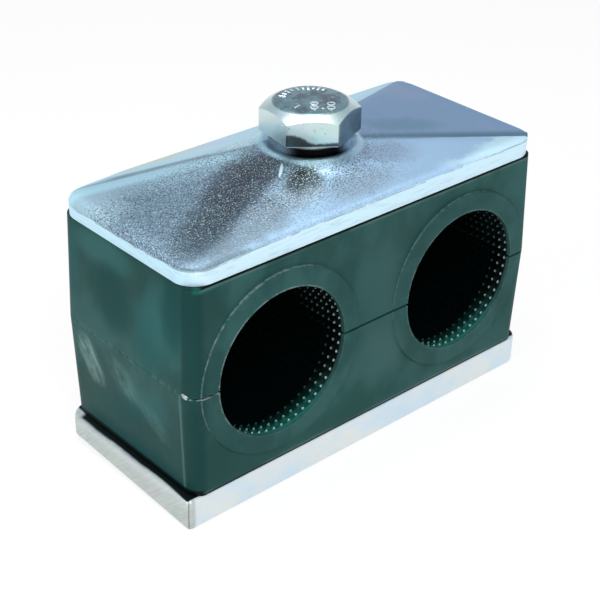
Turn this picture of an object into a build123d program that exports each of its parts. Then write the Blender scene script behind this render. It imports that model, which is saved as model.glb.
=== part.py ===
from build123d import *
import math
import os

# Twin tube clamp: two moulded halves hold two parallel tubes between a weld plate and a pressed cover
# plate, drawn together by one hexagon bolt. Millimetres, +Z up, tubes along Y, seats side by side along X.
# The origin is the centre of the weld plate's underside.

# ---- driving dimensions --------------------------------------------------------------------------------

# Tubes and the walls of the moulded body
TUBE_DIAMETER = 23.0
END_WALL = 4.6
ROOF_WALL = 5.3
WEB_WALL = 2.0
PLATE_WIDTH = 30.0
BODY_OVERHANG = 0.5
SPLIT_GAP = 0.4
DRAFT_ANGLE = 1.7
BODY_CORNER_RADIUS = 2.5
BODY_EDGE_CHAMFER = 0.4

# Lining of the tube seats: smooth lands at both mouths, grooves between them
LAND_WIDTH = 0.7
GROOVE_DEPTH = 0.8
GROOVE_PITCH = 1.57
TIP_RELIEF = 0.05

# Undrafted collar face round each mouth
COLLAR_FACE_WIDTH = 3.0
COLLAR_FACE_STAND = 0.05

# Bolt, to the usual sizes for M8
THREAD_DIAMETER = 8.0
HEAD_ACROSS_FLATS = 13.0
HEAD_HEIGHT = 5.3
HEAD_TURN = 22.0
HEAD_CHAMFER_ANGLE = 30.0
HEAD_CROWN_DIAMETER = 10.0
WASHER_FACE_DIAMETER = 11.8
WASHER_FACE_HEIGHT = 0.5
TIP_CHAMFER = 1.0
TIP_ABOVE_BASE = 0.3

# Threaded bush in the weld plate
BUSH_WALL = 2.0
BUSH_SPIGOT_WALL = 1.0
BUSH_COLLAR_HEIGHT = 6.5
BUSH_CHAMFER = 0.4

# Weld plate
WELD_PLATE_THICKNESS = 5.0
WELD_PLATE_MARGIN = 0.9
WELD_PLATE_CORNER_RADIUS = 2.5
WELD_PLATE_SHARP_RADIUS = 0.8
WELD_PLATE_EDGE_CHAMFER = 0.4

# Cover plate
COVER_THICKNESS = 3.0
COVER_INSET = 0.35
COVER_CORNER_RADIUS = 3.5
COVER_RISE = 3.7
COVER_RIM = 1.5
COVER_EDGE_CHAMFER = 0.6
SEAT_STEP = 1.0
SEAT_STEP_MARGIN = 0.3
SEAT_MARGIN = 1.4
SEAT_SKIRT_ANGLE = 45.0
CREASE_END_LENGTH = 9.2
CREASE_END_WIDTH = 6.8

# Clearances, each across a radius or a height
BOLT_CLEARANCE = 0.5
THREAD_CLEARANCE = 0.05
COLLAR_CLEARANCE = 0.3
COLLAR_HEADROOM = 0.5
PRESS_INTERFERENCE = 0.02

# ---- sizes and places that follow from them ------------------------------------------------------------

TUBE_RADIUS = TUBE_DIAMETER / 2
THREAD_RADIUS = THREAD_DIAMETER / 2
BOLT_HOLE_RADIUS = THREAD_RADIUS + BOLT_CLEARANCE
BORE_PITCH = TUBE_DIAMETER + 2 * (BOLT_HOLE_RADIUS + WEB_WALL)
BODY_LENGTH = BORE_PITCH + TUBE_DIAMETER + 2 * END_WALL
BODY_WIDTH = PLATE_WIDTH + 2 * BODY_OVERHANG
HALF_HEIGHT = TUBE_RADIUS + ROOF_WALL - SPLIT_GAP / 2
BORE_CENTRE_Z = WELD_PLATE_THICKNESS + HALF_HEIGHT + SPLIT_GAP / 2
BODY_TOP_Z = BORE_CENTRE_Z + SPLIT_GAP / 2 + HALF_HEIGHT

COLLAR_FACE_RADIUS = TUBE_RADIUS + COLLAR_FACE_WIDTH
COLLAR_FACE_Y = BODY_WIDTH / 2 + COLLAR_FACE_STAND
LINING_LENGTH = 2 * (COLLAR_FACE_Y - LAND_WIDTH)
RIBS_PER_SEAT = 2 * round(math.pi * TUBE_DIAMETER / GROOVE_PITCH / 2)

BUSH_BORE_RADIUS = THREAD_RADIUS + THREAD_CLEARANCE
BUSH_COLLAR_RADIUS = THREAD_RADIUS + BUSH_WALL
BUSH_SPIGOT_RADIUS = THREAD_RADIUS + BUSH_SPIGOT_WALL
COUNTERBORE_RADIUS = BUSH_COLLAR_RADIUS + COLLAR_CLEARANCE
COUNTERBORE_DEPTH = BUSH_COLLAR_HEIGHT + COLLAR_HEADROOM

WELD_PLATE_LENGTH = BODY_LENGTH + 2 * WELD_PLATE_MARGIN
COVER_LENGTH = BODY_LENGTH - 2 * COVER_INSET
SEAT_RADIUS = WASHER_FACE_DIAMETER / 2 + SEAT_MARGIN
SEAT_Z = BODY_TOP_Z + COVER_THICKNESS + COVER_RISE + SEAT_STEP
SHANK_LENGTH = SEAT_Z - TIP_ABOVE_BASE


# ---- moulded halves ------------------------------------------------------------------------------------

def half_blank():
    """Drafted block with its split face on Z = 0, widest there, and the collar face round each mouth."""
    outline = RectangleRounded(BODY_LENGTH, BODY_WIDTH, BODY_CORNER_RADIUS)
    block = extrude(outline, HALF_HEIGHT, taper=DRAFT_ANGLE)
    block = chamfer(block.faces().sort_by(Axis.Z)[-1].edges(), BODY_EDGE_CHAMFER)
    collar = Cylinder(COLLAR_FACE_RADIUS, 2 * COLLAR_FACE_Y, rotation=(90, 0, 0))
    collars = [Pos(side * BORE_PITCH / 2, 0, -SPLIT_GAP / 2) * collar for side in (-1, 1)]
    upper_space = Pos(0, 0, HALF_HEIGHT / 2) * Box(2 * BODY_LENGTH, 2 * BODY_WIDTH, HALF_HEIGHT)
    return block + [collar_disc & upper_space for collar_disc in collars]


def ribbed_core():
    """Core of one seat between its lands: a star of V grooves whose tips stand just off the tube."""
    tip_radius = TUBE_RADIUS + TIP_RELIEF
    root_radius = TUBE_RADIUS + GROOVE_DEPTH
    step = math.pi / RIBS_PER_SEAT
    corners = []
    for index in range(2 * RIBS_PER_SEAT):
        radius = root_radius if index % 2 else tip_radius
        angle = index * step
        corners.append((radius * math.cos(angle), radius * math.sin(angle)))
    star = make_face(Polyline(*corners, close=True))
    core = extrude(star, LINING_LENGTH / 2, both=True)
    return Rot(90, 0, 0) * core


def clamp_half():
    """One moulding, split face on Z = 0 and outer face up."""
    half = half_blank()
    mouth = Cylinder(TUBE_RADIUS, 2 * BODY_WIDTH, rotation=(90, 0, 0))
    lining = ribbed_core()
    for side in (-1, 1):
        centre = Pos(side * BORE_PITCH / 2, 0, -SPLIT_GAP / 2)
        half -= centre * mouth
        half -= centre * lining
    half -= Cylinder(BOLT_HOLE_RADIUS, 3 * HALF_HEIGHT)
    counterbore = Cylinder(COUNTERBORE_RADIUS, 2 * COUNTERBORE_DEPTH)
    return half - Pos(0, 0, HALF_HEIGHT) * counterbore


def upper_clamp_half():
    """Half above the split."""
    return Pos(0, 0, BORE_CENTRE_Z + SPLIT_GAP / 2) * clamp_half()


def lower_clamp_half():
    """The same half turned over, with its counterbore over the bush."""
    return Pos(0, 0, BORE_CENTRE_Z - SPLIT_GAP / 2) * (Rot(180, 0, 0) * clamp_half())


# ---- weld plate and bush -------------------------------------------------------------------------------

def weld_plate():
    """Sheared bar with one sharper corner, eased top and bottom, bored for the bush."""
    plate = Pos(0, 0, WELD_PLATE_THICKNESS / 2) * Box(WELD_PLATE_LENGTH, PLATE_WIDTH, WELD_PLATE_THICKNESS)
    uprights = plate.edges().filter_by(Axis.Z).sort_by(lambda edge: edge.center().X + edge.center().Y)
    plate = fillet(uprights[1:], WELD_PLATE_CORNER_RADIUS)
    sharp = plate.edges().filter_by(Axis.Z).sort_by(lambda edge: edge.center().X + edge.center().Y)[0]
    plate = fillet(sharp, WELD_PLATE_SHARP_RADIUS)
    rims = plate.faces().sort_by(Axis.Z)[-1].edges() + plate.faces().sort_by(Axis.Z)[0].edges()
    plate = chamfer(rims, WELD_PLATE_EDGE_CHAMFER)
    return plate - Cylinder(BUSH_SPIGOT_RADIUS, 3 * WELD_PLATE_THICKNESS)


def threaded_bush():
    """Turned bush: spigot through the plate, collar standing on it, thread left at its major diameter."""
    spigot_radius = BUSH_SPIGOT_RADIUS + PRESS_INTERFERENCE
    top = WELD_PLATE_THICKNESS + BUSH_COLLAR_HEIGHT
    profile = Polyline(
        (BUSH_BORE_RADIUS, 0),
        (spigot_radius, 0),
        (spigot_radius, WELD_PLATE_THICKNESS),
        (BUSH_COLLAR_RADIUS, WELD_PLATE_THICKNESS),
        (BUSH_COLLAR_RADIUS, top - BUSH_CHAMFER),
        (BUSH_COLLAR_RADIUS - BUSH_CHAMFER, top),
        (BUSH_BORE_RADIUS + BUSH_CHAMFER, top),
        (BUSH_BORE_RADIUS, top - BUSH_CHAMFER),
        close=True,
    )
    return revolve(Plane.XZ * make_face(profile), Axis.Z)


# ---- cover plate ---------------------------------------------------------------------------------------

def gable(base, crown):
    """Long prism along Y whose section is a trapezoid, from the base width at Z = 0 up to the crown."""
    corners = [(-base / 2, 0), (base / 2, 0), (crown / 2, COVER_RISE), (-crown / 2, COVER_RISE)]
    section = make_face(Polyline(*corners, close=True))
    return extrude(Plane.XZ * section, COVER_LENGTH, both=True)


def envelope(inset):
    """Pressed form on Z = 0: four flats that rise from a rounded rectangle and meet in creases."""
    length = COVER_LENGTH - 2 * inset
    width = PLATE_WIDTH - 2 * inset
    block = extrude(RectangleRounded(length, width, COVER_CORNER_RADIUS - inset), COVER_RISE)
    block &= gable(length, CREASE_END_LENGTH)
    return block & Rot(0, 0, 90) * gable(width, CREASE_END_WIDTH)


def seat_boss(radius):
    """Round flat that carries the bolt's head, with a sloped skirt that runs out in the flats."""
    run_out = COVER_RISE / math.tan(math.radians(SEAT_SKIRT_ANGLE))
    return Pos(0, 0, COVER_RISE / 2) * Cone(radius + run_out, radius, COVER_RISE)


def cover_plate():
    """Pressed plate: the envelope and its stepped seat outside, the same envelope hollow inside."""
    plate = extrude(RectangleRounded(COVER_LENGTH, PLATE_WIDTH, COVER_CORNER_RADIUS), COVER_THICKNESS)
    plate = chamfer(plate.faces().sort_by(Axis.Z)[-1].edges(), COVER_EDGE_CHAMFER)
    plate += Pos(0, 0, COVER_THICKNESS) * (envelope(COVER_EDGE_CHAMFER) + seat_boss(SEAT_RADIUS))
    step = Cylinder(WASHER_FACE_DIAMETER / 2 + SEAT_STEP_MARGIN, 2 * SEAT_STEP)
    plate += Pos(0, 0, COVER_THICKNESS + COVER_RISE) * step
    plate -= envelope(COVER_RIM) + seat_boss(SEAT_RADIUS)
    plate -= Cylinder(BOLT_HOLE_RADIUS, 2 * SEAT_Z)
    return Pos(0, 0, BODY_TOP_Z) * plate


# ---- bolt ----------------------------------------------------------------------------------------------

def hex_bolt():
    """Hexagon bolt: chamfered head with a washer face, plain shank at the thread's major diameter."""
    head_top = SEAT_Z + HEAD_HEIGHT
    flats_z = SEAT_Z + WASHER_FACE_HEIGHT
    hexagon = RegularPolygon(HEAD_ACROSS_FLATS / 2, 6, major_radius=False, rotation=HEAD_TURN)
    head = Pos(0, 0, flats_z) * extrude(hexagon, HEAD_HEIGHT - WASHER_FACE_HEIGHT)
    crown_radius = HEAD_CROWN_DIAMETER / 2
    cone_radius = crown_radius + HEAD_HEIGHT / math.tan(math.radians(HEAD_CHAMFER_ANGLE))
    head &= Pos(0, 0, head_top - HEAD_HEIGHT / 2) * Cone(cone_radius, crown_radius, HEAD_HEIGHT)
    washer_face = Pos(0, 0, SEAT_Z + WASHER_FACE_HEIGHT / 2) * Cylinder(
        WASHER_FACE_DIAMETER / 2, WASHER_FACE_HEIGHT
    )
    shank = Pos(0, 0, SEAT_Z - SHANK_LENGTH / 2) * Cylinder(THREAD_RADIUS, SHANK_LENGTH)
    shank = chamfer(shank.edges().sort_by(Axis.Z)[0], TIP_CHAMFER)
    return head + washer_face + shank


# ---- export --------------------------------------------------------------------------------------------

SUB_PARTS = {
    "weld_plate": weld_plate,
    "threaded_bush": threaded_bush,
    "lower_clamp_half": lower_clamp_half,
    "upper_clamp_half": upper_clamp_half,
    "cover_plate": cover_plate,
    "hex_bolt": hex_bolt,
}

os.makedirs("parts", exist_ok=True)
for name, make in SUB_PARTS.items():
    export_step(make(), f"parts/{name}.step")
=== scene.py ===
import logging
import math
from dataclasses import dataclass, field
from enum import Enum
from typing import Any, Iterable, Mapping, Sequence

import bmesh
import bpy
from mathutils import Matrix, Vector


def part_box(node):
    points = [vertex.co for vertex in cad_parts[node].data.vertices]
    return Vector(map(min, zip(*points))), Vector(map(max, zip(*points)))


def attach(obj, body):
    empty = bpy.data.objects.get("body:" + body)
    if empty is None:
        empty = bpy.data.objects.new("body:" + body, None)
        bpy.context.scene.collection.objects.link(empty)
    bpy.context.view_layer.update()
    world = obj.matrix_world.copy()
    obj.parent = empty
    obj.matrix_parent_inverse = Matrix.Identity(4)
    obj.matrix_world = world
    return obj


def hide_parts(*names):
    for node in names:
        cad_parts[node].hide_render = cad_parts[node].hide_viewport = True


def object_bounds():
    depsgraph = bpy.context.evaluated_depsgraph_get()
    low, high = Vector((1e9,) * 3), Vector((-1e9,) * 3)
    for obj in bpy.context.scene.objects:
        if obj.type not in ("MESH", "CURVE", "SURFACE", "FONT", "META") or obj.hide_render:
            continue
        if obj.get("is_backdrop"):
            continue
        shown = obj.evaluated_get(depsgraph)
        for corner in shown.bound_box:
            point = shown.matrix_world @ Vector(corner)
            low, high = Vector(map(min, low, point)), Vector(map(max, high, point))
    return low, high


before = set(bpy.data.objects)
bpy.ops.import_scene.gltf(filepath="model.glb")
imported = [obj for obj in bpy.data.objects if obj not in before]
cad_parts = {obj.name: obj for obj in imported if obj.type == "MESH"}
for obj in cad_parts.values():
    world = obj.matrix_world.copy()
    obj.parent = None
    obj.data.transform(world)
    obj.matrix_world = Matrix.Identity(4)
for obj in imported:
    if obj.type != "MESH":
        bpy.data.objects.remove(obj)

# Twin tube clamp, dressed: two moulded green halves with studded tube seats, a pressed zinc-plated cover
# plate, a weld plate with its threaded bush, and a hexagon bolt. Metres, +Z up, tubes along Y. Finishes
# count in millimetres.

MM = 0.001
PAST = 1 * MM  # how far a cutting tool reaches past what it cuts
ON_PLANE = 1e-6  # metres within which a vertex counts as lying on a plane
LOG = logging.getLogger("tube_clamp")

Colour = tuple[float, float, float]


# ---- shader arithmetic ---------------------------------------------------------------------------------

class Socket:
    """A shader socket that takes part in plain arithmetic, each step adding one Math node."""

    def __init__(self, graph: "Graph", link: bpy.types.NodeSocket) -> None:
        """Wrap one output socket of a node in graph."""
        self.graph = graph
        self.link = link

    def __add__(self, other: "Socket | float") -> "Socket":
        """Sum."""
        return self.graph.maths("ADD", self, other)

    def __sub__(self, other: "Socket | float") -> "Socket":
        """Difference."""
        return self.graph.maths("SUBTRACT", self, other)

    def __mul__(self, other: "Socket | float") -> "Socket":
        """Product."""
        return self.graph.maths("MULTIPLY", self, other)

    def __truediv__(self, other: "Socket | float") -> "Socket":
        """Quotient."""
        return self.graph.maths("DIVIDE", self, other)

    def __radd__(self, other: float) -> "Socket":
        """Sum with the number first."""
        return self.graph.maths("ADD", other, self)

    def __rsub__(self, other: float) -> "Socket":
        """Difference with the number first."""
        return self.graph.maths("SUBTRACT", other, self)

    def __rmul__(self, other: float) -> "Socket":
        """Product with the number first."""
        return self.graph.maths("MULTIPLY", other, self)

    def __pow__(self, other: float) -> "Socket":
        """Power."""
        return self.graph.maths("POWER", self, other)

    def __abs__(self) -> "Socket":
        """Absolute value."""
        return self.graph.maths("ABSOLUTE", self)

    def least(self, other: "Socket | float") -> "Socket":
        """The smaller of the two."""
        return self.graph.maths("MINIMUM", self, other)

    def most(self, other: "Socket | float") -> "Socket":
        """The larger of the two."""
        return self.graph.maths("MAXIMUM", self, other)

    def rise(self, low: float, high: float) -> "Socket":
        """Smooth step between two levels.

        Args:
            low: level where the result is 0.
            high: level where the result is 1. Below low it makes a falling step.

        Returns:
            The stepped value, 0 to 1.
        """
        return self.graph.out(
            "ShaderNodeMapRange",
            {"interpolation_type": "SMOOTHSTEP"},
            {"Value": self, "From Min": low, "From Max": high},
        )


class Graph:
    """A node tree with one method that adds any node, and short names for the arithmetic ones."""

    def __init__(self, tree: bpy.types.NodeTree) -> None:
        """Start from an empty copy of the tree."""
        self.tree = tree
        tree.nodes.clear()

    def node(
        self, kind: str, settings: Mapping[str, Any] | None = None, inputs: Mapping[Any, Any] | None = None
    ) -> bpy.types.Node:
        """Add a node.

        Args:
            kind: the node's type name.
            settings: its own settings, set before its sockets. "stops" gives a ramp's stops.
            inputs: values or Sockets for its inputs, by name or number.

        Returns:
            The new node.
        """
        made = self.tree.nodes.new(kind)
        for name, value in (settings or {}).items():
            if name == "stops":
                self._stops(made.color_ramp, value)
            else:
                setattr(made, name, value)
        for name, value in (inputs or {}).items():
            if isinstance(value, Socket):
                self.tree.links.new(value.link, made.inputs[name])
            else:
                made.inputs[name].default_value = value
        return made

    @staticmethod
    def _stops(ramp: bpy.types.ColorRamp, stops: Sequence[tuple[float, Colour]]) -> None:
        """Give a ramp its stops.

        Args:
            ramp: the ramp to fill.
            stops: each stop's place and colour.
        """
        while len(ramp.elements) < len(stops):
            ramp.elements.new(1.0)
        for element, (place, colour) in zip(ramp.elements, stops):
            element.position = place
            element.color = (*colour, 1.0)

    def out(
        self,
        kind: str,
        settings: Mapping[str, Any] | None = None,
        inputs: Mapping[Any, Any] | None = None,
        output: int | str = 0,
    ) -> Socket:
        """Add a node and return one of its outputs, as node() and then output say."""
        return Socket(self, self.node(kind, settings, inputs).outputs[output])

    def maths(self, operation: str, *values: "Socket | float") -> Socket:
        """Add a Math node on values."""
        return self.out("ShaderNodeMath", {"operation": operation}, dict(enumerate(values)))

    def vectors(self, operation: str, *values: Any, output: int | str = 0) -> Socket:
        """Add a Vector Math node on values."""
        return self.out("ShaderNodeVectorMath", {"operation": operation}, dict(enumerate(values)), output)

    def mix(self, factor: "Socket | float", first: "Socket | Colour", second: "Socket | Colour") -> Socket:
        """Blend two colours.

        Args:
            factor: share of the second colour, 0 to 1.
            first: the colour at 0.
            second: the colour at 1.

        Returns:
            The blended colour.
        """
        # The Mix node's colour pair are its inputs 6 and 7, and its colour result is output 2.
        pair = [value if isinstance(value, Socket) else (*value, 1.0) for value in (first, second)]
        inputs = {0: factor, 6: pair[0], 7: pair[1]}
        return self.out("ShaderNodeMix", {"data_type": "RGBA"}, inputs, output=2)

    def split(self, vector: Socket) -> tuple[Socket, Socket, Socket]:
        """The three parts of a vector."""
        parts = self.node("ShaderNodeSeparateXYZ", inputs={0: vector}).outputs
        return Socket(self, parts[0]), Socket(self, parts[1]), Socket(self, parts[2])

    def rays(self) -> tuple[Socket, Socket, Socket]:
        """Whether a ray comes from the camera, off a glossy surface or through a clear one."""
        path = self.node("ShaderNodeLightPath").outputs
        return tuple(Socket(self, path[f"Is {kind} Ray"]) for kind in ("Camera", "Glossy", "Transmission"))

    def noise(self, place: Socket, size: float, detail: float = 2.0, roughness: float = 0.5) -> Socket:
        """Cloudy pattern, 0 to 1, whose patches are about size across in the units of place."""
        inputs = {"Vector": place, "Scale": 1.0 / size, "Detail": detail, "Roughness": roughness}
        return self.out("ShaderNodeTexNoise", inputs=inputs)

    def stretched(self, place: Socket, scale: Sequence[float]) -> Socket:
        """place with each axis multiplied by its own scale."""
        return self.vectors("MULTIPLY", place, tuple(scale))

    def bump(self, strength: float, depth: float, height: Socket) -> Socket:
        """Normal bent by a height pattern, whose step from 0 to 1 is depth metres high."""
        inputs = {"Strength": strength, "Distance": depth, "Height": height}
        return self.out("ShaderNodeBump", inputs=inputs)

    def spot(
        self,
        across: Socket,
        along: Socket,
        middle: tuple[float, float],
        reach: tuple[float, float],
        turn: float,
    ) -> Socket:
        """Soft-edged ellipse on a face.

        Args:
            across: first coordinate on the face.
            along: second coordinate on the face.
            middle: the ellipse's middle.
            reach: its half-lengths, where it has faded out.
            turn: how far it is turned, in degrees.

        Returns:
            1 in the middle, falling smoothly to 0 at the border.
        """
        cosine, sine = math.cos(math.radians(turn)), math.sin(math.radians(turn))
        right, up = across - middle[0], along - middle[1]
        first = (right * cosine + up * sine) / reach[0]
        second = (up * cosine - right * sine) / reach[1]
        return (first * first + second * second).rise(1.0, 0.0)


# ---- finishes ------------------------------------------------------------------------------------------

@dataclass(frozen=True)
class TintPatch:
    """Soft-edged patch of another tint on a face, its middle and reach in millimetres."""

    colour: Colour
    middle: tuple[float, float]
    reach: tuple[float, float]
    turn: float = 0.0
    strength: float = 1.0

    def over(
        self,
        graph: Graph,
        colour: "Socket | Colour",
        across: Socket,
        along: Socket,
        share: "Socket | float" = 1.0,
    ) -> Socket:
        """Lay the patch over a colour.

        Args:
            graph: the material's nodes.
            colour: what it lies on.
            across: first coordinate on the face.
            along: second coordinate on the face.
            share: how much of it shows, which a pattern may break up.

        Returns:
            The tinted colour.
        """
        cover = graph.spot(across, along, self.middle, self.reach, self.turn) * self.strength * share
        return graph.mix(cover, colour, self.colour)


@dataclass(frozen=True)
class Finish:
    """A surface finish that fills one Principled shader from the place on the object, in millimetres."""

    name: str

    def material(self) -> bpy.types.Material:
        """The finish's material, made on first use.

        Returns:
            The material.
        """
        found = bpy.data.materials.get(self.name)
        if found:
            return found
        made = bpy.data.materials.new(self.name)
        made.use_nodes = True
        graph = Graph(made.node_tree)
        place = graph.vectors("SCALE", graph.out("ShaderNodeTexCoord", output="Object"))
        place.link.node.inputs["Scale"].default_value = 1.0 / MM
        shader = graph.out("ShaderNodeBsdfPrincipled", inputs=self.channels(graph, place))
        graph.node("ShaderNodeOutputMaterial", inputs={"Surface": shader})
        return made

    def channels(self, graph: Graph, place: Socket) -> dict[str, Any]:
        """What the shader's sockets get.

        Args:
            graph: the material's nodes.
            place: the point on the object, in millimetres.

        Returns:
            Values and Sockets by socket name.
        """
        raise NotImplementedError

    @staticmethod
    def tinted(
        graph: Graph,
        base: "Socket | Colour",
        tint_patches: Iterable[TintPatch],
        across: Socket,
        along: Socket,
        share: "Socket | float" = 1.0,
    ) -> "Socket | Colour":
        """Lay a face's tint patches over its tint, in order.

        Args:
            graph: the material's nodes.
            base: the tint.
            tint_patches: what lies on it.
            across: first coordinate on the face.
            along: second coordinate on the face.
            share: how much of every patch shows.

        Returns:
            The stained colour.
        """
        colour = base
        for tint_patch in tint_patches:
            colour = tint_patch.over(graph, colour, across, along, share)
        return colour


@dataclass(frozen=True)
class MouldedGreen(Finish):
    """Satin dark green polypropylene: faint flow blotches, pale rubs, painted highlights on its edges and on
    the studs near the mouths, painted shade in the joints and deep in the seats.
    """

    deep: Colour = (0.0120, 0.056, 0.052)
    pale: Colour = (0.0240, 0.085, 0.081)
    corner: Colour = (0.0040, 0.034, 0.032)
    # painted highlight on the top edge by the front left corner
    green_highlight: Colour = (0.010, 0.20, 0.14)
    lit: Colour = (0.0120, 0.145, 0.120)
    # wear, and the painted highlight along the outer face's rounded edge
    rub_and_highlight: Colour = (0.11, 0.21, 0.20)
    # moulding flash, and the painted highlights on the seats' edges
    flash_and_highlight: Colour = (0.50, 0.58, 0.57)
    # painted highlights on the stud tips
    tip: Colour = (0.62, 0.72, 0.72)
    # painted shade in the joints against the cover and the weld plate, and at the foot of the left end
    black: Colour = (0.0004, 0.0010, 0.0010)
    # painted shade deep in the seats
    seat_shade: Colour = (0.0012, 0.0060, 0.0054)
    split_z: float = 21.8
    half_height: float = 16.8
    end_x: float = 34.1
    front_y: float = 15.5
    seat_x: float = 18.0
    seat_radius: float = 11.5
    stud_depth: float = 0.8
    land: float = 0.7
    ring_radius: float = 14.5
    wander: float = 3.0
    end_patches: tuple[TintPatch, ...] = (
        TintPatch((0.0240, 0.105, 0.102), (5.0, 36.0), (9.0, 3.5), 0.0, 0.7),
        TintPatch((0.0220, 0.108, 0.108), (-9.0, 31.0), (5.5, 8.0), 0.0, 0.6),
        TintPatch((0.0010, 0.040, 0.038), (3.0, 29.5), (7.0, 6.0), 20.0, 0.9),
        TintPatch((0.0010, 0.042, 0.041), (-11.0, 34.0), (3.5, 9.0), 0.0, 0.8),
        TintPatch((0.0100, 0.092, 0.093), (-5.5, 27.0), (4.0, 8.0), 0.0, 0.5),
        TintPatch((0.0080, 0.082, 0.081), (12.5, 32.0), (2.6, 8.0), 0.0, 0.5),
        TintPatch((0.0200, 0.105, 0.105), (-4.0, 15.5), (8.0, 4.0), -20.0, 0.5),
        TintPatch((0.0010, 0.050, 0.050), (2.0, 11.5), (8.0, 3.0), -10.0, 0.8),
        TintPatch((0.0010, 0.044, 0.046), (0.0, 6.5), (18.0, 2.8), 0.0, 0.8),
    )
    end_rubs: tuple[TintPatch, ...] = (
        TintPatch((0.17, 0.29, 0.285), (9.2, 16.6), (5.4, 3.0), 55.0, 0.95),
        TintPatch((0.09, 0.19, 0.185), (1.0, 17.2), (5.0, 3.2), 25.0, 0.65),
        TintPatch((0.05, 0.14, 0.138), (-6.0, 13.5), (5.0, 2.4), 30.0, 0.7),
    )
    front_patches: tuple[TintPatch, ...] = (
        TintPatch((0.0080, 0.042, 0.039), (-31.5, 36.0), (5.0, 7.0), 0.0, 0.8),
        TintPatch((0.0060, 0.046, 0.041), (-31.0, 9.0), (6.0, 7.0), 0.0, 0.8),
        TintPatch((0.0270, 0.086, 0.084), (0.0, 27.0), (6.0, 11.0), 0.0, 0.7),
        TintPatch((0.0330, 0.092, 0.090), (1.0, 15.5), (7.0, 6.0), 0.0, 0.7),
        TintPatch((0.0110, 0.056, 0.049), (-6.0, 7.0), (16.0, 3.5), 0.0, 0.7),
        TintPatch((0.0160, 0.072, 0.068), (31.0, 9.0), (4.0, 6.0), 0.0, 0.5),
    )

    def channels(self, graph: Graph, place: Socket) -> dict[str, Any]:
        """Clouded green, worn at the left end and the parting line, with painted shade that turns it black
        deep inside the seats.

        Args:
            graph: the material's nodes.
            place: the point on the object, in millimetres.

        Returns:
            Values and Sockets by socket name.
        """
        x, y, z = graph.split(place)
        flow = graph.noise(place, 9.0, 3.0, 0.55)
        cloud = graph.noise(graph.stretched(place, (1.0, 1.0, 0.6)), 3.2, 2.0, 0.6)
        fleck = graph.noise(place, 0.8, 2.0, 0.6)
        pebble = graph.noise(place, 0.28, 2.0, 0.6)
        colour = graph.mix((flow * 0.7 + cloud * 0.3).rise(0.38, 0.64), self.deep, self.pale)
        across, up = (cloud - 0.5) * self.wander, z + (flow - 0.5) * self.wander
        colour = self.tinted(graph, colour, self.front_patches, x + across, up)
        on_end = x.rise(2.4 - self.end_x, 1.6 - self.end_x)
        colour = graph.mix(on_end, colour, self.tinted(graph, colour, self.end_patches, y + across, up))
        slope = graph.vectors("ADD", place, graph.out("ShaderNodeCombineXYZ", inputs={1: z * -0.65}))
        streak = graph.noise(graph.stretched(slope, (1.0, 1.0, 0.55)), 1.3, 4.0, 0.7)
        share = on_end * streak.rise(0.25, 0.75)
        colour = self.tinted(graph, colour, self.end_rubs, y + (cloud - 0.5) * 2.0, up, share)
        colour = self.dark_corner(graph, colour, x, y, z)
        colour = self.shaded_rims(graph, colour, z - self.split_z, flow, on_end)
        spoke_x = x - graph.maths("SIGN", x) * self.seat_x
        spoke_z = z - self.split_z
        radius = (spoke_x * spoke_x + spoke_z * spoke_z) ** 0.5
        depth = self.front_y - abs(y)
        # how far the seats' edges face the light at the upper left, for their painted highlights
        facing = (spoke_z - spoke_x) / radius * (1.0 - x.rise(-1.0, 1.0) * 0.7)
        colour = self.edges_of_seat(graph, colour, radius, facing, depth, fleck)
        colour = self.parting_line(graph, colour, x, y, spoke_z, fleck)
        root = self.seat_radius + self.stud_depth
        inside = radius.rise(root + 0.3, root + 0.2)
        colour = self.inside_seat(graph, colour, inside, radius, depth, spoke_x, spoke_z, x)
        # Metallic deep in the seats takes away their diffuse light, so their painted shade stays black
        deep_in_seat = inside * depth.rise(1.0, 3.0)
        return {
            "Base Color": colour,
            "Metallic": deep_in_seat,
            "Roughness": 0.42 + cloud * 0.16 + deep_in_seat * 0.45,
            "IOR": 1.46,
            "Specular IOR Level": 0.10,
            "Normal": graph.bump(0.25, 0.04 * MM, pebble + flow * 2.0),
        }

    def dark_corner(self, graph: Graph, colour: Socket, x: Socket, y: Socket, z: Socket) -> Socket:
        """Deep tone on the rounded front left corner, a scuffed line where the end begins, and a painted
        highlight on the top edge by that corner.

        Args:
            graph: the material's nodes.
            colour: what it lies on.
            x: place along the clamp.
            y: place along the tubes.
            z: height above the floor.

        Returns:
            The colour with that laid over it.
        """
        round_it = y.rise(2.9 - self.front_y, 2.2 - self.front_y) * x.rise(-31.0, -32.6)
        colour = graph.mix(round_it * 0.75, colour, self.corner)
        scuff = abs(y + self.front_y - 3.0).rise(0.35, 0.10) * x.rise(-32.0, -33.0)
        lower = (self.split_z - z).rise(-0.3, 0.3)
        colour = graph.mix(scuff * lower * 0.35, colour, self.rub_and_highlight)
        top = z.rise(self.split_z + self.half_height - 1.0, self.split_z + self.half_height - 0.6)
        # painted highlight on the top edge by the front left corner
        glint = top * y.rise(1.4 - self.front_y, 0.8 - self.front_y) * x.rise(-27.5, -31.5)
        return graph.mix(glint * 0.28, colour, self.green_highlight)

    def shaded_rims(self, graph: Graph, colour: Socket, rise: Socket, flow: Socket, on_end: Socket) -> Socket:
        """A painted highlight along the outer face's rounded edge, and painted shade in the joint against the
        plate on it and at the foot of the left end.

        Args:
            graph: the material's nodes.
            colour: what it lies on.
            rise: height above the split between the halves.
            flow: broad pattern that breaks the highlight up.
            on_end: 1 on the left end.

        Returns:
            The colour with that laid over it.
        """
        height = abs(rise)
        # painted highlight along the outer face's rounded edge
        edge_highlight = height.rise(self.half_height - 0.75, self.half_height - 0.45) * flow.rise(0.30, 0.55)
        colour = graph.mix(edge_highlight * (1.0 - on_end) * 0.30, colour, self.rub_and_highlight)
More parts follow.
